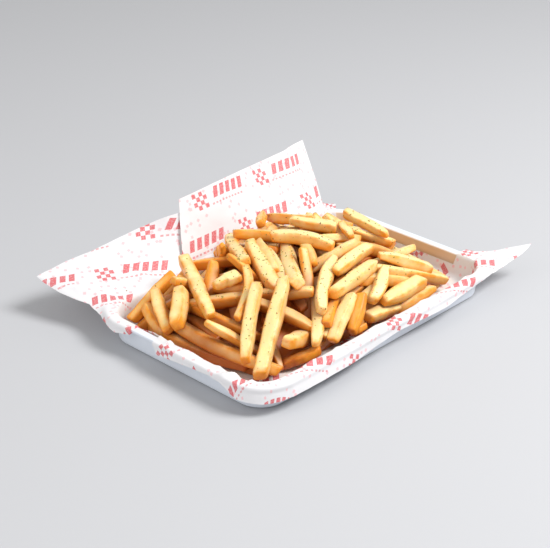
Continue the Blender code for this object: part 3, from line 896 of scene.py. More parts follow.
        # A tan is painted over the floor under the heap, and faintly along the wall, for grease stains and painted
        # shade under the fries.
        inward = 1.0 - np.clip((out + 9.0) / 6.0, 0.0, 1.0)
        paint(sheet.data, "grease_and_shade", np.maximum(inward, 0.35 * (1.0 - np.clip(out / 5.0, 0.0, 1.0))))
        apply_modifier(sheet, "SOLIDIFY", thickness=self.thick * MM, offset=0.0, use_even_offset=False)
        shade_smooth(sheet, self.sharp_deg)
        return hand_over(sheet, self.finish.make(), Slot.LINER, node)

    def crease(self, points: np.ndarray, out: np.ndarray) -> None:
        """Raises the sheet into sharp ridges where it was creased over the lip.

        Args:
            points: The sheet's points, which are changed.
            out: How far outside the base's outline each lies.
        """
        for way, offset, way_end, offset_end, width, height in self.creases:
            start = np.array(self.shape.spot_at(way, offset)[:2])
            line = np.array(self.shape.spot_at(way_end, offset_end)[:2]) - start
            away = points[:, :2] - start
            part = np.clip(away @ line / (line @ line), 0.0, 1.0)
            aside = np.linalg.norm(away - part[:, None] * line, axis=1)
            fade = np.sin(np.pi * (0.12 + 0.76 * part)) * np.clip((out + 9.0) / 4.0, 0.0, 1.0)
            points[:, 2] += height * fade * np.clip(1.0 - aside / width, 0.0, 1.0)

    def run_at(self, way: float) -> tuple[float, float]:
        """Reads how far the sheet runs past the lip, and at what slope."""
        ways, runs, slopes = zip(*self.runs)
        return float(np.interp(way, ways, runs)), float(np.interp(way, ways, slopes))


@dataclass
class LowerSheet(PaperSheet):
    """The sheet that lines the whole tray, hangs over the two near sides and stands out at three corners."""

    runs: Table = (
        (0, 10.5, -80), (60, 10.5, -80), (100, 6.5, -80), (150, 8, -80), (186, 4, -76), (193, 3.5, -60),
        (200, 5, -42), (206, 10, -20), (210, 19, -5), (214, 40, 6), (217, 17, 3), (219, 10.5, 2),
        (222, 6.5, 0),
        (225, 4.5, -4), (236, 4, -20), (320, 4, -20), (350, 5, 0), (366, 12, 38), (400, 28, 44),
        (450, 34, 54),
        (480, 36, 63.3), (490, 37, 57), (500, 38.5, 45), (515, 41, 33), (530, 43.5, 23), (540, 45.5, 17),
        (551, 49, 11), (556, 53, 6),
        (559.8, 57, 4), (564, 14, -8), (568, 8, -24), (572.5, 5, -45), (580, 5, -66), (589, 7, -78),
        (604, 3.5, -80), (625, 3.5, -80), (627.5, 8, -80), (651, 5.5, -80), (675, 3.5, -80),
        (688, 6, -80), (698, 10, -78), (712, 11, -76), (730.8, 10.5, -80),
    )
    folds: tuple[float, ...] = (214.0, 217.5, 559.8, 625.0, 627.5)
    creases: Table = (
        (592, -7, 633, 3.4, 3.2, 2.2), (633, 4, 635, -8, 2.4, 2.0), (640, 3, 668, -4, 2.8, 1.2),
        (668, -5, 681, 3, 2.6, 1.3), (683, 7, 697, -5, 3.2, 2.2), (703, 5, 711, -7, 2.6, 1.4),
        (14, 4, 40, -5, 3.2, 1.1), (44, -4, 52, 7, 2.6, 0.9), (66, -5, 96, 4, 3.4, 1.2),
        (102, 4, 108, -5, 2.6, 0.9),
        (124, 3, 146, -6, 3.2, 1.2), (168, -6, 184, 4, 3.0, 1.4), (204, -8, 213, 16, 3.4, 1.8),
        (555, -6, 559, 34, 4.0, 1.8), (520, 4, 534, 30, 4.0, 1.3),
    )
    column_step: float = 1.3
    fold_round: float = 0.9
    short_right: tuple[float, float, float] = (231.7, 345.7, 18.3)
    short_left: tuple[float, float, float] = (603.0, 623.6, 24.6)
    rows_on_tail: int = 22

    def build(self) -> bpy.types.Object:
        """Builds the sheet.

        Returns:
            The sheet.
        """
        whole = self.shape.all_round()
        steps = int(whole / self.column_step)
        ways = sorted({*np.linspace(0.0, whole, steps + 1).tolist(), *self.folds})
        lip = self.lip_length(0.0)
        on_path = np.linspace(0.0, 1.0, self.rows_on_path)
        on_tail = np.linspace(0.0, 1.0, self.rows_on_tail + 1)[1:]
        places = []
        for way in ways:
            way = min(way, whole - 1e-6)
            run, slope = self.run_at(way)
            end = lip + run
            for start, stop, length in (self.short_right, self.short_left):
                if start <= way <= stop:
                    end = length
            alongs = [min(lip * part, end) for part in on_path]
            alongs += [lip + max(end - lip, 0.0) * part if end > lip else end for part in on_tail]
            places.append([self.both_places(way, along, slope) for along in alongs])
        places[-1] = places[0]
        return self.finish_off(self.sheet_of("lower_sheet", places, True), "liner_lower")


@dataclass
class UpperSheet(PaperSheet):
    """The second sheet, that covers the back wall and stands up behind the heap."""

    runs: Table = (
        (350, 0.5, 46), (355, 1.5, 50), (357.6, 53, 54), (366, 49.5, 54), (393, 48.5, 56),
        (420, 47.5, 60), (450, 46.5, 62.5), (479, 45, 63.5),
    )
    folds: tuple[float, ...] = (355.0, 357.6)
    right_bow: float = 8.0
    left_slant: float = 16.0
    edge_reach: float = 30.0
    corner_end: float = 365.4
    floor_reach: tuple[float, float] = (14.0, 40.0)
    edge_lift: float = 0.7
    edge_from: float = 440.0
    rows_on_tail: int = 26

    def lift_at(self, way: float) -> float:
        """How far the sheet lies over the tray: it settles onto the lower one towards its left edge."""
        return float(np.interp(way, (self.edge_from, self.runs[-1][0]), (self.lift, self.edge_lift)))

    def build(self) -> bpy.types.Object:
        """Builds the sheet.

        Returns:
            The sheet.
        """
        first, last = self.runs[0][0], self.runs[-1][0]
        steps = int((last - first) / self.column_step)
        ways = sorted({*np.linspace(first, last, steps + 1).tolist(), *self.folds})
        on_path = np.linspace(0.0, 1.0, self.rows_on_path)
        on_tail = np.linspace(0.0, 1.0, self.rows_on_tail + 1)[1:]
        places = []
        for way in ways:
            run, slope = self.run_at(way)
            lip = self.lip_length(way)
            reach = float(np.interp(way, (self.corner_end, self.corner_end + 30.0), self.floor_reach))
            inner = -(reach + self.floor_from)
            alongs = [inner * part for part in (1.0, 0.75, 0.5, 0.25)]
            alongs += [lip * part for part in on_path] + [lip + run * part for part in on_tail]
            by_right = min(1.0, max(0.0, 1.0 - (way - self.folds[-1]) / self.edge_reach))
            by_left = max(0.0, 1.0 - (last - way) / self.edge_reach)
            places.append([])
            for along in alongs:
                part = max(0.0, along - lip) / run
                moved = by_right * self.right_bow * math.sin(math.pi * part)
                moved += by_left * self.left_slant * (1.0 - part)
                places[-1].append(self.both_places(way + moved, along, slope, inner))
        return self.finish_off(self.sheet_of("upper_sheet", places, False), "liner_upper")


@dataclass(frozen=True)
class Sight:
    """The eye that the heap is laid out from, and the picture that it sees, in points from the top left."""

    aim: tuple[float, float, float] = (28.35, 52.35, 0.0)
    distance: float = 1004.26
    down_deg: float = 26.98
    turn_deg: float = 43.73
    scale: float = 1418.2
    middle: tuple[float, float] = (275.0, 274.0)
    size: tuple[int, int] = (550, 548)
    points_per_mm: float = 1.487

    def lines(self) -> tuple[Vector, Vector, Vector, Vector]:
        """Finds how the eye stands.

        Returns:
            Its place, and the directions ahead of it, to its right and above it.
        """
        down, turn = math.radians(self.down_deg), math.radians(self.turn_deg)
        ahead = Vector((math.cos(down) * math.cos(turn), math.cos(down) * math.sin(turn), -math.sin(down)))
        right = Vector((math.sin(turn), -math.cos(turn), 0.0))
        return Vector(self.aim) - self.distance * ahead, ahead, right, right.cross(ahead)

    def line_to(self, across: float, down: float) -> tuple[Vector, Vector]:
        """Finds the line of sight of one point of the picture.

        Args:
            across: The point's place across the picture.
            down: The point's place down the picture.

        Returns:
            The eye's place and the line's direction.
        """
        eye, ahead, right, above = self.lines()
        sideways = (across - self.middle[0]) / self.scale
        upward = -(down - self.middle[1]) / self.scale
        return eye, (ahead + sideways * right + upward * above).normalized()

    def in_picture(self, place: Sequence[float]) -> tuple[float, float]:
        """Finds a place's point in the picture.

        Args:
            place: The place.

        Returns:
            The point's place across and down the picture.
        """
        eye, ahead, right, above = self.lines()
        away = Vector(place) - eye
        scale = self.scale / away.dot(ahead)
        return self.middle[0] + scale * away.dot(right), self.middle[1] - scale * away.dot(above)

    def see(self, places: np.ndarray) -> np.ndarray:
        """Finds many places' points in the picture.

        Args:
            places: The places, one a row.

        Returns:
            For each its place across and down the picture, and how far ahead it lies.
        """
        eye, *axes = (np.array(value) for value in self.lines())
        away = (places - eye) @ np.array(axes).T
        scale = self.scale / away[:, 0]
        return np.stack([self.middle[0] + scale * away[:, 1], self.middle[1] - scale * away[:, 2],
                         away[:, 0]], axis=1)


class Layer(Enum):
    """Where in the heap a fry lies."""

    SHOWN = "shown"
    FILLER = "filler"
    UNDER = "under"


@dataclass
class LaidFry:
    """One fry's place: its bowed line, half its width and its width, and its layer."""

    line: Line
    radius: float
    side: float
    layer: Layer
    tone: float = 0.4
    tails: list[Vector | None] = field(default_factory=lambda: [None, None])


@dataclass
class HeapForm:
    """The heap's form: a dome over the tray's floor, as far as it stays under its outline."""

    shape: TrayShape
    sight: Sight
    half: tuple[float, float] = (112.0, 74.0)
    back: float = 8.0
    edge: float = 20.0
    rise: float = 38.0
    squareness: float = 2.5
    fall: float = 0.7
    floor: float = 4.3
    wall_clear: float = 2.9
    rim_clear: float = 21.8
    rim_reach: float = 3.0
    wall_lean: float = 0.17
    outline: Table = (
        (140, 306), (150, 293), (176, 273), (184, 258), (200, 277), (213, 261), (222, 244), (231, 230),
        (256, 227), (263, 211), (300, 215), (342, 211), (390, 237), (418, 247), (434, 264), (452, 282),
    )

    def dome_top(self, x: float, y: float) -> float:
        """The height of the whole dome at a place."""
        spread = sum(
            abs(value) ** self.squareness for value in (x / self.half[0], (y - self.back) / self.half[1])
        )
        return self.edge + self.rise * max(0.0, 1.0 - spread) ** self.fall

    def skyline(self, across: float) -> float:
        """How high the heap's outline stands in the picture."""
        return float(np.interp(across, *zip(*self.outline)))

    def top(self, x: float, y: float) -> float:
        """Finds the height of the heap's top, which keeps under the outline.

        Args:
            x: The place's x.
            y: The place's y.

        Returns:
            The height.
        """
        height = self.dome_top(x, y)
        across, down = self.sight.in_picture((x, y, height))
        per_mm = self.sight.points_per_mm * math.cos(math.radians(self.sight.down_deg))
        hidden = (self.skyline(across) - down) / per_mm
        return max(self.floor + 6.0, height - max(0.0, hidden))

    def faces_eye(self, x: float, y: float) -> bool:
        """Tells whether the heap's top faces the eye.

        Args:
            x: The place's x.
            y: The place's y.

        Returns:
            Whether it does.
        """
        slope = (self.top(x + 1.0, y) - self.top(x - 1.0, y), self.top(x, y + 1.0) - self.top(x, y - 1.0))
        outward = Vector((-0.5 * slope[0], -0.5 * slope[1], 1.0))
        return outward.dot(self.sight.lines()[1]) < 0.0

    def above_skyline(self, line: np.ndarray, radius: float) -> bool:
        """Tells whether a fry would stand out above the heap's outline.

        Args:
            line: Points along the fry.
            radius: Half the fry's width.

        Returns:
            Whether it would.
        """
        for place in line:
            across, down = self.sight.in_picture(place)
            if down - radius * self.sight.points_per_mm < self.skyline(across) - 1.0:
                return True
        return False

    def crossing(self, line: np.ndarray, radius: float) -> float:
        """Measures how deep a fry would reach into the tray or its paper.

        Args:
            line: Points along the fry.
            radius: Half the fry's width.

        Returns:
            The deepest reach, below nought where it is clear.
        """
        low = self.floor + radius - line[:, 2]
        side = self.shape.wall_distance(line[:, 0], line[:, 1]) + radius
        leaning = self.wall_lean * (np.minimum(line[:, 2], self.shape.height) - self.shape.height)
        inside = side + self.wall_clear + 0.2 - leaning
        over = line[:, 2] - radius >= self.rim_clear
        return float(np.maximum(low, np.where(over, side - self.rim_reach, inside)).max())


@dataclass
class HeapLayout:
    """Lays the fries: those that show by their place in the picture, then others where the heap is bare."""

    form: HeapForm
    press: float = 0.76
    roundness: float = 0.54
    cornerwise: float = 1.02
    most_pressed: float = 0.6
    crossing_share: float = 0.7
    fillers: int = 64
    seed: int = 11
    tries: int = 24
    sunk: int = 8
    deepest: int = 11
    filler_length: tuple[float, float] = (40.0, 74.0)
    filler_side: tuple[float, float] = (7.6, 10.2)
    bare_step: float = 5.0
    bare_margin: float = 8.0
    bare_least: float = 2.0
    hidden_lengths: tuple[float, ...] = (24.0, 17.0, 11.0, 7.0)
    hidden_press: float = 0.52
    under_fries: int = 220
    under_tries: int = 7000
    under_press: float = 0.5
    under_seed: int = 29
    under_within: tuple[float, ...] = (-96.0, 96.0, -56.0, 62.0)
    under_length: tuple[float, float] = (28.0, 58.0)
    under_side: tuple[float, float] = (8.0, 10.5)
    under_sink: tuple[float, float] = (5.0, 20.0)
    brownness: Table = ((150.0, 240.0, 330.0, 430.0), (0.75, 0.5, 0.25, 0.2))
    moved_by: range = range(-14, 45, 2)
    shown: Table = (
        (283.5, 279, 258.5, 376, 17, 0, 0.15), (272, 235, 333, 246, 15.5, -2, 0.25),
        (371, 246, 334, 273, 16, 0, 0.15), (249, 240, 276, 288, 17, 0, 0.3),
        (257, 285, 244.5, 361, 14, 1, 0.15), (215, 286, 238, 275, 17, 0, 0.05),
        (183, 257, 212, 318, 16, 0, 0.45), (378, 255, 431, 268, 13.5, 0, 0.2),
        (423, 280, 382, 302, 17.5, 0, 0.2), (335, 256, 320.5, 312, 15, 6, 0),
        (182, 289, 177, 327, 17, 0, 0.45),
        (374, 264, 331, 295, 17, 0, 0.15), (351, 294, 331, 341, 15, 0, 0.15),
        (317, 304, 315.5, 346, 15, 0, 0.05), (386, 267, 372, 302, 15, 0, 0.1),
        (291, 220, 336, 228, 13.5, 0, 0.1), (286, 241, 297.5, 286, 14, 0, 0.2),
        (247, 265, 238, 320, 9, -6, 0.5), (211, 303.5, 313, 291.5, 14, 0, 0.45),
        (234, 234, 288, 239, 13.5, -1, 0.7), (366, 318, 400, 307, 14.5, 0, 0.15),
        (155, 291, 169, 332, 14, 0, 0.5), (180, 325, 246, 359, 14, 2, 0.7), (386, 271, 448, 281, 13, 0, 0.3),
        (344, 212, 388, 235, 13, 0, 0.15), (341, 222, 352, 238, 11, 0, 0.4), (339, 227, 393, 244, 12, 0, 0.2),
        (227, 234, 246, 265, 14.5, 0, 0.4), (359, 241, 333, 256, 12, 0, 0.2),
        (267, 238, 286, 276, 12.5, 0, 0.5), (284, 344, 312, 335, 18, 0, 0.3),
        (206, 322, 246, 345, 11, 0, 0.4),
        (214, 288, 262, 287, 13, 0, 0.65), (303.5, 248, 305.5, 341, 12, -5, 0.6),
        (362, 294, 352, 332, 12, 0, 1), (434, 287, 398, 307, 12.5, 0, 0.5),
        (415, 247, 386, 260, 11.5, 0, 0.15),
        (394, 242, 374, 254, 12, 0, 1), (168, 335, 248, 367, 13, 3, 0.7), (145, 305, 165, 335, 13.5, 0, 0.7),
        (211, 315, 246, 331, 11.5, 0, 0.9), (265, 328, 281, 369, 12, 0, 0.4),
        (213, 262, 206, 305, 13.5, 0, 1.15), (264, 321, 311, 320, 12, 0, 0.9),
        (264, 211, 259, 227, 12, 0, 0.9),
        (266, 217, 303, 220, 13, 0, 0.45), (267, 288, 263, 332, 12.5, 0, 1),
        (253, 277, 272, 293, 9.5, 0, 1.1),
        (219, 263, 254, 259, 12, 0, 1.15), (222, 244, 222.5, 265, 8.5, 0, 0.6),
        (157, 293, 174, 275, 12.5, 0, 0.8), (313, 215, 323, 226, 9, 0, 0.5), (327, 216, 334, 228, 11, 0, 0.4),
        (336, 286, 327, 326, 10.5, 0, 1), (320, 350, 283, 365, 11.5, 0, 1), (366, 326, 350, 333, 9.5, 0, 1),
    )

    def __post_init__(self) -> None:
        """Starts with nothing laid."""
        self.laid: list[LaidFry] = []
        self.places = np.zeros((0, 3))
        self.reaches = np.zeros(0)
        self.owners = np.zeros(0, int)

    @staticmethod
    def samples(line: Line, count: int = 11) -> np.ndarray:
        """Finds points along a bowed fry's axis.

        Args:
            line: The axis's start, middle and end.
            count: How many points.

        Returns:
            The points.
        """
        start, middle, end = (np.array(point) for point in line)
        part = np.linspace(0.0, 1.0, count)[:, None]
        bow = middle - 0.5 * (start + end)
        return start + part * (end - start) + 4.0 * part * (1.0 - part) * bow

    def overlap(self, points: np.ndarray, radius: float, press: float, besides: int = -1) -> float:
        """Measures the most that a fry would press into the tray, the paper or the fries already there.

        Args:
            points: Points along the fry.
            radius: Half the fry's width.
            press: How near two fries may come, as a share of both their half widths.
            besides: The number of a laid fry to leave out.

        Returns:
            The deepest press, nought or less where it is clear.
        """
        worst = self.form.crossing(points, radius)
        others = self.owners != besides
        if others.any():
            reaches = press * self.reaches[others]
            gaps = np.linalg.norm(points[:, None] - self.places[others][None], axis=2) - reaches[None]
            worst = max(worst, press * radius - float(gaps.min()))
        return worst

    def note(self, points: np.ndarray, radius: float, owner: int) -> None:
        """Notes points along a laid fry, that later ones keep clear of.

        Args:
            points: The points.
            radius: Half the fry's width.
            owner: The fry's number.
        """
        self.places = np.concatenate([self.places, points])
        self.reaches = np.concatenate([self.reaches, np.full(len(points), radius)])
        self.owners = np.concatenate([self.owners, np.full(len(points), owner)])

    def add(self, fry: LaidFry) -> None:
        """Adds a fry to those laid."""
        self.note(self.samples(fry.line), fry.radius, len(self.laid))
        self.laid.append(fry)

    def in_front(self, points: np.ndarray, radius: float) -> bool:
        """Tells whether a fry would cross in front of one that lies above it.

        Args:
            points: Points along the fry.
            radius: Half the fry's width.

        Returns:
            Whether it would.
        """
        if not self.laid:
            return False
        seen, others = self.form.sight.see(points), self.form.sight.see(self.places)
        gaps = np.linalg.norm(seen[:, None, :2] - others[None, :, :2], axis=2)
        near = gaps < self.crossing_share * self.form.sight.points_per_mm * (radius + self.reaches[None])
        return bool((near & (seen[:, None, 2] < others[None, :, 2])).any())

    def on_heap(self, across: float, down: float, radius: float) -> float:
        """Finds how far along a line of sight a fry's axis meets the heap.

        Args:
            across: The point's place across the picture.
            down: The point's place down the picture.
            radius: Half the fry's width.

        Returns:
            Where the line enters the dome, or else passes nearest.
        """
        eye, direction = self.form.sight.line_to(across, down)
        best, nearest = 0.0, math.inf
        for step in range(560):
            distance = self.form.sight.distance - 230.0 + step
            x, y, z = eye + distance * direction
            outside = max(0.0, 2.0 * float(self.form.shape.wall_distance(x, y) + 6.0))
            over = z - (self.form.dome_top(x, y) - radius) + outside
            if over <= 0.0:
                return distance
            if over < nearest:
                best, nearest = distance, over
        return best

    def lay_shown(self, row: Sequence[float]) -> None:
        """Lays one fry that shows: each end keeps to its line of sight, sinking or rising until it is clear.

        Args:
            row: Both ends, the width and how far its middle bows out, in the picture's points, then how
                browned.
        """
        across_0, down_0, across_1, down_1, wide, bow, tone = row
        side = wide / self.form.sight.points_per_mm / self.cornerwise
        radius = self.roundness * side
        length = math.hypot(across_1 - across_0, down_1 - down_0)
        normal = ((down_0 - down_1) / length, (across_1 - across_0) / length)
        inset = 0.35 * wide / length
        ends = []
        for part in (inset, 1.0 - inset):
            spot = (across_0 + part * (across_1 - across_0), down_0 + part * (down_1 - down_0))
            ends.append((*self.form.sight.line_to(*spot), self.on_heap(*spot, radius)))
        middle_across = 0.5 * (across_0 + across_1) + bow * normal[0]
        middle_down = 0.5 * (down_0 + down_1) + bow * normal[1]
        eye, middle_way = self.form.sight.line_to(middle_across, middle_down)
        moves = [(start, end) for start in self.moved_by for end in self.moved_by]
        moves.sort(
            key=lambda move: sum(max(step, -1.6 * step) for step in move) + 0.4 * abs(move[0] - move[1])
        )
        best, least = None, math.inf
        for move in moves:
            distances = [end[2] + step for end, step in zip(ends, move)]
            start, end = (found[0] + distance * found[1] for found, distance in zip(ends, distances))
            line = (start, eye + 0.5 * sum(distances) * middle_way, end)
            points = self.samples(line)
            if self.in_front(points, radius):
                continue
            worst = self.overlap(points, radius, self.press)
            if worst < least:
                best, least = line, worst
            if worst <= 0.0:
                break
        if least <= self.most_pressed * radius:
            self.add(LaidFry(best, radius, side, Layer.SHOWN, tone))
        else:
            LOG.info("left out the fry at %g, %g", across_0, down_0)

    def along_heap(self, x: float, y: float, heading: float, half: float, radius: float, sink: float) -> Line:
        """Runs a line along the heap.

        Args:
            x: Its middle's x.
            y: Its middle's y.
            heading: Its direction seen from above.
            half: Half its length.
            radius: Half the fry's width.
            sink: How far it lies under the heap's top.

        Returns:
            The bowed line.
        """
        points = []
        for sign in (-1.0, 1.0):
            end_x = x + sign * half * math.cos(heading)
            end_y = y + sign * half * math.sin(heading)
            points.append(Vector((end_x, end_y, self.form.top(end_x, end_y) - radius - sink)))
        middle = 0.5 * (points[0] + points[1])
        middle.z = 0.35 * middle.z + 0.65 * (self.form.top(x, y) - radius - sink)
        return points[0], middle, points[1]

    def lay_filler(self, x: float, y: float, draw: random.Random) -> LaidFry | None:
        """Lays one fry over a bare place, lower and lower until it is clear.

        Args:
            x: The bare place's x.
            y: The bare place's y.
            draw: The source of its heading and size.

        Returns:
            The fry, or nothing where none fits.
        """
        for attempt in range(self.tries):
            heading = draw.uniform(0.0, math.pi)
            half = 0.5 * draw.uniform(*self.filler_length) * (1.0 - 0.5 * attempt / self.tries)
            side = draw.uniform(*self.filler_side)
            radius = self.roundness * side
            for sink in range(self.sunk if self.form.faces_eye(x, y) else 0, self.deepest, 2):
                line = self.along_heap(x, y, heading, half, radius, sink)
                points = self.samples(line)
                if (not self.form.above_skyline(points, radius)
                        and self.overlap(points, radius, self.press) <= 0.0):
                    return LaidFry(line, radius, side, Layer.FILLER)
        return None

    def lay_fillers(self) -> None:
        """Lays a fry at the barest place in turn, until the heap is covered."""
        draw = random.Random(self.seed)
        spots = []
        for row in range(-13, 14):
            for column in range(-21, 22):
                x, y = column * self.bare_step, row * self.bare_step
                if self.form.shape.wall_distance(x, y) < -self.bare_margin:
                    spots.append((x, y, self.form.top(x, y) - 5.0))
        spots = np.array(spots)
        bare = (np.linalg.norm(spots[:, None] - self.places[None], axis=2) - self.reaches[None]).min(axis=1)
        count = 0
        while count < self.fillers and bare.max() > self.bare_least:
            barest = int(bare.argmax())
            fry = self.lay_filler(*spots[barest][:2], draw)
            bare[barest] = 0.0
            if fry:
                self.add(fry)
                gaps = np.linalg.norm(spots[:, None] - self.samples(fry.line)[None], axis=2).min(axis=1)
                bare = np.minimum(bare, gaps - fry.radius)
                count += 1

    def is_covered(self, place: Vector, number: int) -> bool:
        """Tells whether a place beside a fry lies behind another fry, seen from the eye.

        Args:
            place: The place.
            number: The fry's own number.

        Returns:
            Whether it is covered.
        """
        sight = self.form.sight
        eye = sight.lines()[0]
        point, away = sight.in_picture(place), (place - eye).length
        for other, fry in enumerate(self.laid):
            if other == number:
                continue
            for sample in self.samples(fry.line, 15):
                near = math.dist(sight.in_picture(sample), point) < 0.95 * fry.radius * sight.points_per_mm
                if near and (Vector(sample) - eye).length < away + 2.0:
                    return True
        return False

    def run_on(self, fry: LaidFry, number: int, end: int) -> Vector | None:
        """Finds where a covered end may run on to, beneath what covers it.

        Args:
            fry: The fry.
            number: Its number.
            end: 0 for its start, 1 for its end.

        Returns:
            The hidden end's place, or nothing where it is in view or has no room.
        """
        points = self.samples(fry.line, 15)
        tip, before = (points[0], points[1]) if end == 0 else (points[-1], points[-2])
        tip, outward = Vector(tip), Vector(tip - before).normalized()
        if not self.is_covered(tip + 5.0 * outward, number):
            return None
        away = (tip - self.form.sight.lines()[0]).normalized()
        for length in self.hidden_lengths:
            for sink in range(0, int(1.3 * length), 2):
                tail = tip + length * outward + sink * away
                if tail.z > self.form.top(tail.x, tail.y) - 0.5 * fry.radius:
                    continue
                line = np.linspace(tip + 0.35 * (tail - tip), tail, 6)
                if self.overlap(line, 0.9 * fry.radius, self.hidden_press, number) <= 0.0:
                    self.note(line, 0.9 * fry.radius, number)
                    return tail
        return None

    def lay_hidden_ends(self) -> None:
        """Runs every fry on beneath the fries that cover its ends."""
        for number, fry in enumerate(self.laid):
            fry.tails = [self.run_on(fry, number, 0), self.run_on(fry, number, 1)]

    def lay_under(self) -> None:
        """Packs fries under those that show, pressed closer together, so that gaps look down on more fries."""
        draw = random.Random(self.under_seed)
        count = 0
        for _ in range(self.under_tries):
            if count == self.under_fries:
                break
            x, y = draw.uniform(*self.under_within[:2]), draw.uniform(*self.under_within[2:])
            heading = draw.uniform(0.0, math.pi)
            half = 0.5 * draw.uniform(*self.under_length)
            side = draw.uniform(*self.under_side)
            radius = self.roundness * side
            sink = draw.uniform(*self.under_sink)
            if self.form.shape.wall_distance(x, y) > -self.bare_margin:
                continue
            line = self.along_heap(x, y, heading, half, radius, sink)
            points = self.samples(line)
            clear = self.overlap(points, radius, self.under_press) <= 0.0
            if clear and not self.form.above_skyline(points, radius):
                self.add(LaidFry(line, radius, side, Layer.UNDER))
                count += 1

    def lay(self) -> list[LaidFry]:
        """Lays the whole heap.

        Returns:
            Every fry, the shown ones first.
        """
        for row in self.shown:
            self.lay_shown(row)
        self.lay_fillers()
        self.lay_hidden_ends()
        self.lay_under()
        hidden = sum(tail is not None for fry in self.laid for tail in fry.tails)
        LOG.info("%d fries laid, %d ends run on under others", len(self.laid), hidden)
        draw = random.Random(self.seed + 1)
        for fry in self.laid:
            if fry.layer is not Layer.SHOWN:
                across = self.form.sight.in_picture(fry.line[1])[0]
                browner = float(np.interp(across, *self.brownness))
                fry.tone = browner + draw.uniform(-0.15, 0.45)
        return self.laid


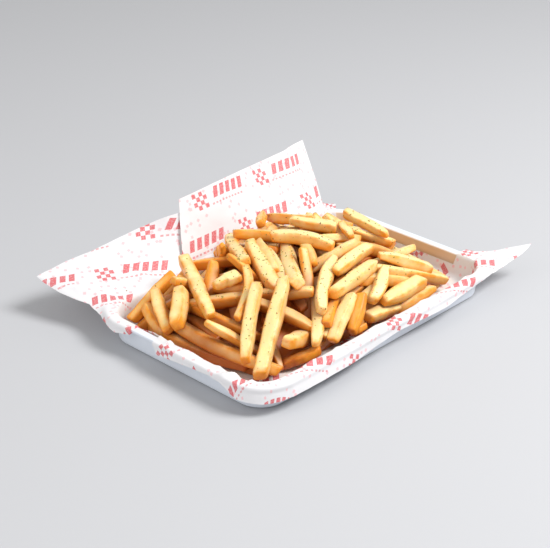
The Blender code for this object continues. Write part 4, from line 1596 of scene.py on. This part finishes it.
@dataclass
class FriesHeap:
    """The fries themselves, over a packed core, with dried herbs on them and strewn on the paper."""

    form: HeapForm
    fries: list[LaidFry]
    finish: FriedPotato = field(default_factory=FriedPotato)
    herb: DriedHerb = field(default_factory=DriedHerb)
    blank_length: float = 50.0
    blank_side: float = 9.5
    blank_round: float = 1.8
    puff: float = 1.02
    face_crisp: float = 0.0
    slimmer: float = 0.91
    end_part: float = 6.0
    tapers: tuple[float, ...] = (0.1, 0.18, 0.26, 0.36, 0.55)
    lumps: Table = ((9.0, 0.8), (2.6, 0.16))
    # Painted shade: faces turned down are painted more golden, and skin deep under the heap's top is painted dark.
    underside_shade: float = 0.65
    deep_from: float = 6.0
    deep_over: float = 15.0
    flake_sizes: tuple[float, ...] = (0.2, 0.26, 0.32, 0.4, 0.5)
    flake_corners: int = 6
    flake_kinds: tuple[float, ...] = (0.0, 0.1, 0.25, 0.7, 0.9)
    herb_across: Table = ((170.0, 235.0, 370.0, 440.0), (0.2, 1.0, 0.9, 0.35))
    herb_down: Table = ((215.0, 240.0, 300.0, 350.0), (0.6, 1.0, 0.7, 0.2))
    map_step: float = 4.0
    core_sunk: float = 25.0

    def blank(self, stations: int, puffed: bool) -> bpy.types.Object:
        """Models the blank that every fry is shaped from: a cut bar with rounded edges and rings along it.

        Args:
            stations: How many rings lie between its ends.
            puffed: Whether its faces have a middle line, which is puffed out.

        Returns:
            The blank, lying along X.
        """
        bpy.ops.object.select_all(action="DESELECT")
        bpy.ops.mesh.primitive_cube_add(size=1.0)
        bar = bpy.context.object
        bar.name = "fry_blank"
        bar.scale = (self.blank_length * MM, self.blank_side * MM, self.blank_side * MM)
        bpy.ops.object.transform_apply(location=True, rotation=True, scale=True)
        bpy.ops.object.mode_set(mode="EDIT")
        bpy.ops.mesh.select_all(action="SELECT")
        bpy.ops.mesh.bevel(offset=self.blank_round * MM, segments=2, affect="EDGES")
        inner = 0.5 * self.blank_length - self.end_part
        for cut in np.linspace(-inner, inner, stations).tolist():
            bpy.ops.mesh.select_all(action="SELECT")
            bpy.ops.mesh.bisect(plane_co=(cut * MM, 0.0, 0.0), plane_no=(1, 0, 0))
        for normal in ((0, 1, 0), (0, 0, 1)) if puffed else ():
            bpy.ops.mesh.select_all(action="SELECT")
            bpy.ops.mesh.bisect(plane_co=(0.0, 0.0, 0.0), plane_no=normal)
        bpy.ops.object.mode_set(mode="OBJECT")
        return bar

    @staticmethod
    def axis_of(fry: LaidFry) -> np.ndarray:
        """Finds points along a fry's whole axis, with the ends that run on under others.

        Args:
            fry: The fry.

        Returns:
            The points.
        """
        points = HeapLayout.samples(fry.line, 13)
        for end, tail in enumerate(fry.tails):
            if tail is None:
                continue
            tip, before = (points[0], points[1]) if end == 0 else (points[-1], points[-2])
            outward = (tip - before) / np.linalg.norm(tip - before)
            bend = tip + 0.5 * np.linalg.norm(np.array(tail) - tip) * outward
            part = np.linspace(0.0, 1.0, 8)[1:, None]
            curve = (1.0 - part) ** 2 * tip + 2.0 * part * (1.0 - part) * bend + part ** 2 * np.array(tail)
            points = np.concatenate([curve[::-1], points] if end == 0 else [points, curve])
        return points

    def shape_fry(self, points: np.ndarray, fry: LaidFry, draw: random.Random) -> np.ndarray:
        """Bends, twists and makes uneven the blank's points to one laid fry.

        Args:
            points: The blank's points, along X.
            fry: Where the fry lies.
            draw: The source of its unevenness.

        Returns:
            The fry's points in their place.
        """
        axis = self.axis_of(fry)
        steps = np.concatenate([[0.0], np.cumsum(np.linalg.norm(np.diff(axis, axis=0), axis=1))])
        beyond = 0.42 * fry.side
        length = steps[-1] + 2.0 * beyond
        side = self.slimmer * fry.side
        wide, tall = side * draw.uniform(0.92, 1.06), side * draw.uniform(0.84, 1.0)
        y, z = points[:, 1] * wide / self.blank_side, points[:, 2] * tall / self.blank_side
        kept = min(self.end_part * fry.side / self.blank_side, 0.45 * length)
        half = 0.5 * self.blank_length
        at_end = np.clip((np.abs(points[:, 0]) - (half - self.end_part)) / self.end_part, 0.0, 1.0)
        inner = np.clip(np.abs(points[:, 0]) / (half - self.end_part), 0.0, 1.0)
        along = np.sign(points[:, 0]) * (inner * (0.5 * length - kept) + at_end * kept)
        part = np.clip(along / length + 0.5, 0.0, 1.0)

        for values in (y, z):
            phase, rate = draw.uniform(0.0, 6.3), draw.uniform(0.7, 1.5) * length / 40.0
            values *= (1.0 + 0.07 * np.sin(phase + 6.28 * rate * part)
                       + 0.03 * np.sin(2.3 * phase + 15.0 * rate * part))
        slims = [draw.choice(self.tapers) for _ in range(2)]
        near = np.clip(1.0 - np.minimum(part, 1.0 - part) * length / (1.9 * fry.side), 0.0, 1.0) ** 1.4
        slim = np.where(part < 0.5, slims[0], slims[1]) * near
        y *= 1.0 - slim
        z *= 1.0 - slim * draw.uniform(0.4, 1.0)
        for sign in (-1.0, 1.0):
            close = np.clip((sign * along - (0.5 * length - 0.8 * fry.side)) / (0.8 * fry.side), 0.0, 1.0)
            along = along + close * (draw.uniform(-0.4, 0.4) * y + draw.uniform(-0.3, 0.3) * z)
        lean = draw.uniform(-0.2, 0.2)
        y = y + lean * z
        roll = draw.uniform(-0.45, 0.45) + draw.uniform(-0.3, 0.3) * (part - 0.5)
        y, z = y * np.cos(roll) + z * np.sin(roll), z * np.cos(roll) - y * np.sin(roll)
        y = y + draw.uniform(-0.6, 0.6) * np.sin(6.28 * part + draw.uniform(0.0, 6.3))
        y = y + draw.uniform(-0.02, 0.02) * length * 4.0 * part * (1.0 - part)

        place = along + 0.5 * length - beyond
        inside = np.clip(place, 0.0, steps[-1])
        slopes = np.gradient(axis, steps, axis=0)
        centre = np.stack([np.interp(inside, steps, axis[:, index]) for index in range(3)], axis=1)
        ahead = np.stack([np.interp(inside, steps, slopes[:, index]) for index in range(3)], axis=1)
        ahead /= np.linalg.norm(ahead, axis=1)[:, None]
        whole = fry.line[2] - fry.line[0]
        upright = (1.0, 0.0, 0.0) if abs(whole.normalized().z) > 0.85 else (0.0, 0.0, 1.0)
        across = np.cross(upright, ahead)
        across /= np.linalg.norm(across, axis=1)[:, None]
        above = np.cross(ahead, across)
        return centre + (place - inside)[:, None] * ahead + y[:, None] * across + z[:, None] * above

    def depth_map(self) -> tuple[np.ndarray, np.ndarray, np.ndarray]:
        """The height of the heap's top over a grid, with the grid's lines."""
        xs, ys = np.arange(-124.0, 125.0, self.map_step), np.arange(-84.0, 93.0, self.map_step)
        return xs, ys, np.array([[self.form.top(x, y) for y in ys] for x in xs])

    def build_fries(self, name: str, layers: set[Layer], seed: int) -> bpy.types.Object:
        """Shapes every fry of some layers from a blank, joins them and roughens their skin.

        Args:
            name: The piece's name.
            layers: The layers that it holds.
            seed: The seed of their unevenness.

        Returns:
            The fries as one piece.
        """
        draw = random.Random(seed)
        xs, ys, tops = self.depth_map()
        blanks = {
            Layer.SHOWN: self.blank(7, True), Layer.FILLER: self.blank(5, False),
            Layer.UNDER: self.blank(4, False),
        }
        pieces = []
        for number, fry in enumerate(self.fries):
            if fry.layer not in layers:
                continue
            blank = blanks[fry.layer]
            piece = bpy.data.objects.new(f"fry_{number}", blank.data.copy())
            bpy.context.scene.collection.objects.link(piece)
            points = get_points(blank)
            in_face = np.minimum(np.abs(points[:, 1]), np.abs(points[:, 2])) < 0.1
            points[in_face, 1:] *= self.puff
            shaped = self.shape_fry(points, fry, draw)
            set_points(piece, shaped)
            corner = np.clip((np.abs(points[:, 1]) + np.abs(points[:, 2]) - 6.9) / 1.54, 0.0, 1.0)
            tip = np.clip((np.abs(points[:, 0]) - 0.5 * self.blank_length + 4.0) / 3.0, 0.0, 1.0)
            column, row = (
                np.clip(np.rint((values - grid[0]) / self.map_step).astype(int), 0, len(grid) - 1)
                for values, grid in ((shaped[:, 0], xs), (shaped[:, 1], ys))
            )
            # Painted shade: skin that lies deep under the heap's top is darkened.
            below = tops[column, row] - shaped[:, 2] - self.deep_from
            crisp = np.where(in_face, self.face_crisp, corner * (1.0 if fry.layer is Layer.SHOWN else 0.55))
            paint(piece.data, "crisp", np.maximum(crisp, 0.85 * tip))
            # Painted shade: faces turned down get a more golden tone, on top of the fry's own browning.
            facing_down = 0.4 - get_normals(piece)[:, 2]
            paint(piece.data, "tone", np.clip(fry.tone + self.underside_shade * facing_down, -0.4, 2.0))
            paint(piece.data, "depth_shade", np.clip(below / self.deep_over, 0.0, 1.0))
            pieces.append(piece)
        for blank in blanks.values():
            bpy.data.objects.remove(blank)
        bpy.ops.object.select_all(action="DESELECT")
        for piece in pieces:
            piece.select_set(True)
        bpy.context.view_layer.objects.active = pieces[0]
        bpy.ops.object.join()
        heap = bpy.context.object
        heap.name = name
        apply_modifier(heap, "SUBSURF", levels=1, render_levels=1)
        for size, strength in self.lumps:
            clouds = bpy.data.textures.new(f"skin_{size:g}", "CLOUDS")
            clouds.noise_scale = size * MM
            clouds.noise_depth = 2
            apply_modifier(
                heap, "DISPLACE", texture=clouds, texture_coords="LOCAL", strength=strength * MM,
                mid_level=0.5
            )
        shade_smooth(heap)
        return hand_over(heap, self.finish.make(), Slot.FRIES, "fries")

    def build_core(self) -> bpy.types.Object:
        """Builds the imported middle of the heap, which only shows down the gaps.

        Returns:
            The core.
        """
        bpy.ops.object.select_all(action="DESELECT")
        bpy.ops.mesh.primitive_uv_sphere_add(segments=96, ring_count=48, radius=1.0)
        core = bpy.context.object
        core.name = "packed_core"
        points = get_points(core) * MM
        shape = self.form.shape
        half = [value - 20.0 for value in shape.base_half]
        spread = np.hypot(points[:, 0], points[:, 1])
        square = np.maximum(np.abs(points[:, 0]), np.abs(points[:, 1])) + 1e-9
        fit = np.where(spread > 1e-6, spread / square, 1.0) ** 0.8
        out = np.arcsin(np.clip(spread, 0.0, 1.0)) / (0.5 * math.pi)
        scale = np.where(spread > 1e-6, out / np.maximum(spread, 1e-9), 0.0) * fit
        places = np.zeros_like(points)
        for index, (x, y, z) in enumerate(points):
            place_x, place_y = x * scale[index] * half[0], y * scale[index] * half[1]
            height = self.form.floor
            if z > 0.0:
                lump = 1.6 * math.sin(place_x / 9.0) * math.cos(place_y / 8.0)
                height = max(self.form.floor + 1.0, self.form.top(place_x, place_y) - self.core_sunk + lump)
            places[index] = (place_x, place_y, height)
        set_points(core, places)
        # The core is painted all over in the dark colour of deep shade, since it only shows down the gaps.
        for name, value in (("crisp", 0.0), ("tone", 0.9), ("depth_shade", 1.0)):
            paint(core.data, name, np.full(len(places), value))
        shade_smooth(core)
        return hand_over(core, self.finish.make(), Slot.FRIES)

    def thick_with_herb(self, place: Vector) -> float:
        """How thickly the herbs lie at a place, from 0 to 1: most over the heap's middle and right."""
        across, down = self.form.sight.in_picture(place)
        return float(np.interp(across, *self.herb_across) * np.interp(down, *self.herb_down))

    def scatter(self, name: str, heap: bpy.types.Object, count: int, seed: int) -> bpy.types.Object:
        """Scatters dried flakes over the fries.

        Args:
            name: The piece's name.
            heap: The fries that they lie on.
            count: How many flakes.
            seed: The seed of their places.

        Returns:
            The flakes as one piece.
        """
        draw = random.Random(seed)
        tree = BVHTree.FromObject(heap, bpy.context.evaluated_depsgraph_get())
        shape = bmesh.new()
        kinds = []
        while count > 0:
            x, y = draw.uniform(-105.0, 105.0), draw.uniform(-62.0, 72.0)
            lean = Vector((draw.uniform(-0.9, 0.5), draw.uniform(-0.9, 0.5), -1.0)).normalized()
            if draw.random() < 0.5:
                lean = (self.form.sight.lines()[1] + Vector((0.0, 0.0, -0.4))).normalized()
            start = (Vector((x, y, 40.0)) - 60.0 * lean) * MM
            hit, normal, _, _ = tree.ray_cast(start, lean)
            if hit is None or draw.random() > self.thick_with_herb(hit / MM):
                continue
            count -= 1
            size = MM * draw.choice(self.flake_sizes)
            turn = normal.to_track_quat("Z", "X").to_matrix()
            heading = draw.uniform(0.0, 6.28)
            long = draw.uniform(1.0, 2.1)
            corners = []
            for corner in range(self.flake_corners):
                angle = heading + corner * 2.0 * math.pi / self.flake_corners
                reach = size * draw.uniform(0.7, 1.15)
                ahead = reach * math.cos(angle - heading) * long
                aside = reach * math.sin(angle - heading)
                flat = Vector((
                    ahead * math.cos(heading) - aside * math.sin(heading),
                    ahead * math.sin(heading) + aside * math.cos(heading),
                    draw.uniform(0.0, 0.14) * MM,
                ))
                corners.append(hit + turn @ (flat + Vector((0.0, 0.0, 0.1 * MM))))
            low = [shape.verts.new(corner - normal * 0.22 * MM) for corner in corners]
            high = [shape.verts.new(corner) for corner in corners]
            kinds += [draw.choice(self.flake_kinds)] * 2 * self.flake_corners
            shape.faces.new(high)
            shape.faces.new(low[::-1])
            for corner in range(self.flake_corners):
                after = (corner + 1) % self.flake_corners
                shape.faces.new((low[corner], low[after], high[after], high[corner]))
        mesh = bpy.data.meshes.new(name)
        shape.to_mesh(mesh)
        shape.free()
        paint(mesh, "kind", kinds)
        flakes = bpy.data.objects.new(name, mesh)
        bpy.context.scene.collection.objects.link(flakes)
        return hand_over(flakes, self.herb.make(), Slot.FRIES)


@dataclass
class Studio:
    """The camera, the plain floor and the soft lights."""

    sight: Sight
    floor: StudioFloor = field(default_factory=StudioFloor)
    film_mm: float = 36.0
    key: tuple[float, ...] = (0.9, 1.2, 0.2, 0.6, 23.0)
    fill: tuple[float, ...] = (-1.1, 0.8, 1.1, 1.6, 10.5)
    surround: str = "EEEDEC"
    surround_strength: float = 0.66

    def set_camera(self) -> None:
        """Sets the camera at the eye's place, with the picture's framing."""
        eye, ahead, right, above = self.sight.lines()
        camera = bpy.data.objects.new("camera", bpy.data.cameras.new("camera"))
        bpy.context.scene.collection.objects.link(camera)
        camera.data.sensor_width = self.film_mm
        camera.data.lens = self.film_mm * self.sight.scale / self.sight.size[0]
        camera.data.clip_start = 0.05
        camera.data.clip_end = 20.0
        turn = Matrix((right, above, -ahead)).transposed().to_4x4()
        turn.translation = eye * MM
        camera.matrix_world = turn
        bpy.context.scene.camera = camera

    def add_light(self, name: str, side: float, height: float, front: float, size: float,
                  power: float) -> None:
        """Adds a soft square light that faces the tray.

        Args:
            name: The light's name.
            side: How far to the eye's right it stands, in metres.
            height: How high it stands, in metres.
            front: How far towards the eye it stands, in metres.
            size: Its width in metres.
            power: Its power in watts.
        """
        _, ahead, right, _ = self.sight.lines()
        level = Vector((ahead.x, ahead.y, 0.0)).normalized()
        light = bpy.data.objects.new(name, bpy.data.lights.new(name, "AREA"))
        bpy.context.scene.collection.objects.link(light)
        light.data.size = size
        light.data.energy = power
        place = side * right - front * level + Vector((0.0, 0.0, height))
        light.location = place
        light.rotation_euler = (-place).to_track_quat("-Z", "Y").to_euler()

    def build(self) -> None:
        """Sets the floor, the lights and the surroundings."""
        bpy.ops.object.select_all(action="DESELECT")
        bpy.ops.mesh.primitive_plane_add(size=12.0, location=(0.0, 0.0, -0.0002))
        ground = bpy.context.object
        ground.name = "floor"
        ground.data.materials.append(self.floor.make())
        self.add_light("key", *self.key)
        self.add_light("fill", *self.fill)
        world = bpy.data.worlds.new("studio")
        world.use_nodes = True
        inputs = world.node_tree.nodes["Background"].inputs
        inputs["Color"].default_value = linear(self.surround)
        inputs["Strength"].default_value = self.surround_strength
        bpy.context.scene.world = world
        bpy.context.scene.view_settings.view_transform = "Standard"


def main() -> None:
    """Builds the studio and every piece in order."""
    logging.basicConfig(level=logging.INFO, format="%(name)s: %(message)s")
    sight = Sight()
    studio = Studio(sight)
    studio.set_camera()
    studio.build()
    shape = TrayShape()
    ServingTray(shape).build()
    lower = LowerSheet(shape, PrintedPaper(), 0.6).build()
    UpperSheet(shape, PrintedPaper(turn_deg=1.0, shift_mm=(21.0, 3.0)), 1.45).build()
    form = HeapForm(shape, sight)
    layout = HeapLayout(form)
    heap = FriesHeap(form, layout.lay())
    heap.build_core()
    heap.build_fries("under_fries", {Layer.UNDER}, 17)
    fries = heap.build_fries("fries_heap", {Layer.SHOWN, Layer.FILLER}, 16)
    heap.scatter("herb_flakes", fries, 700, 41)
    heap.scatter("stray_flakes", lower, 60, 5)


if __name__ == "__main__":
    main()
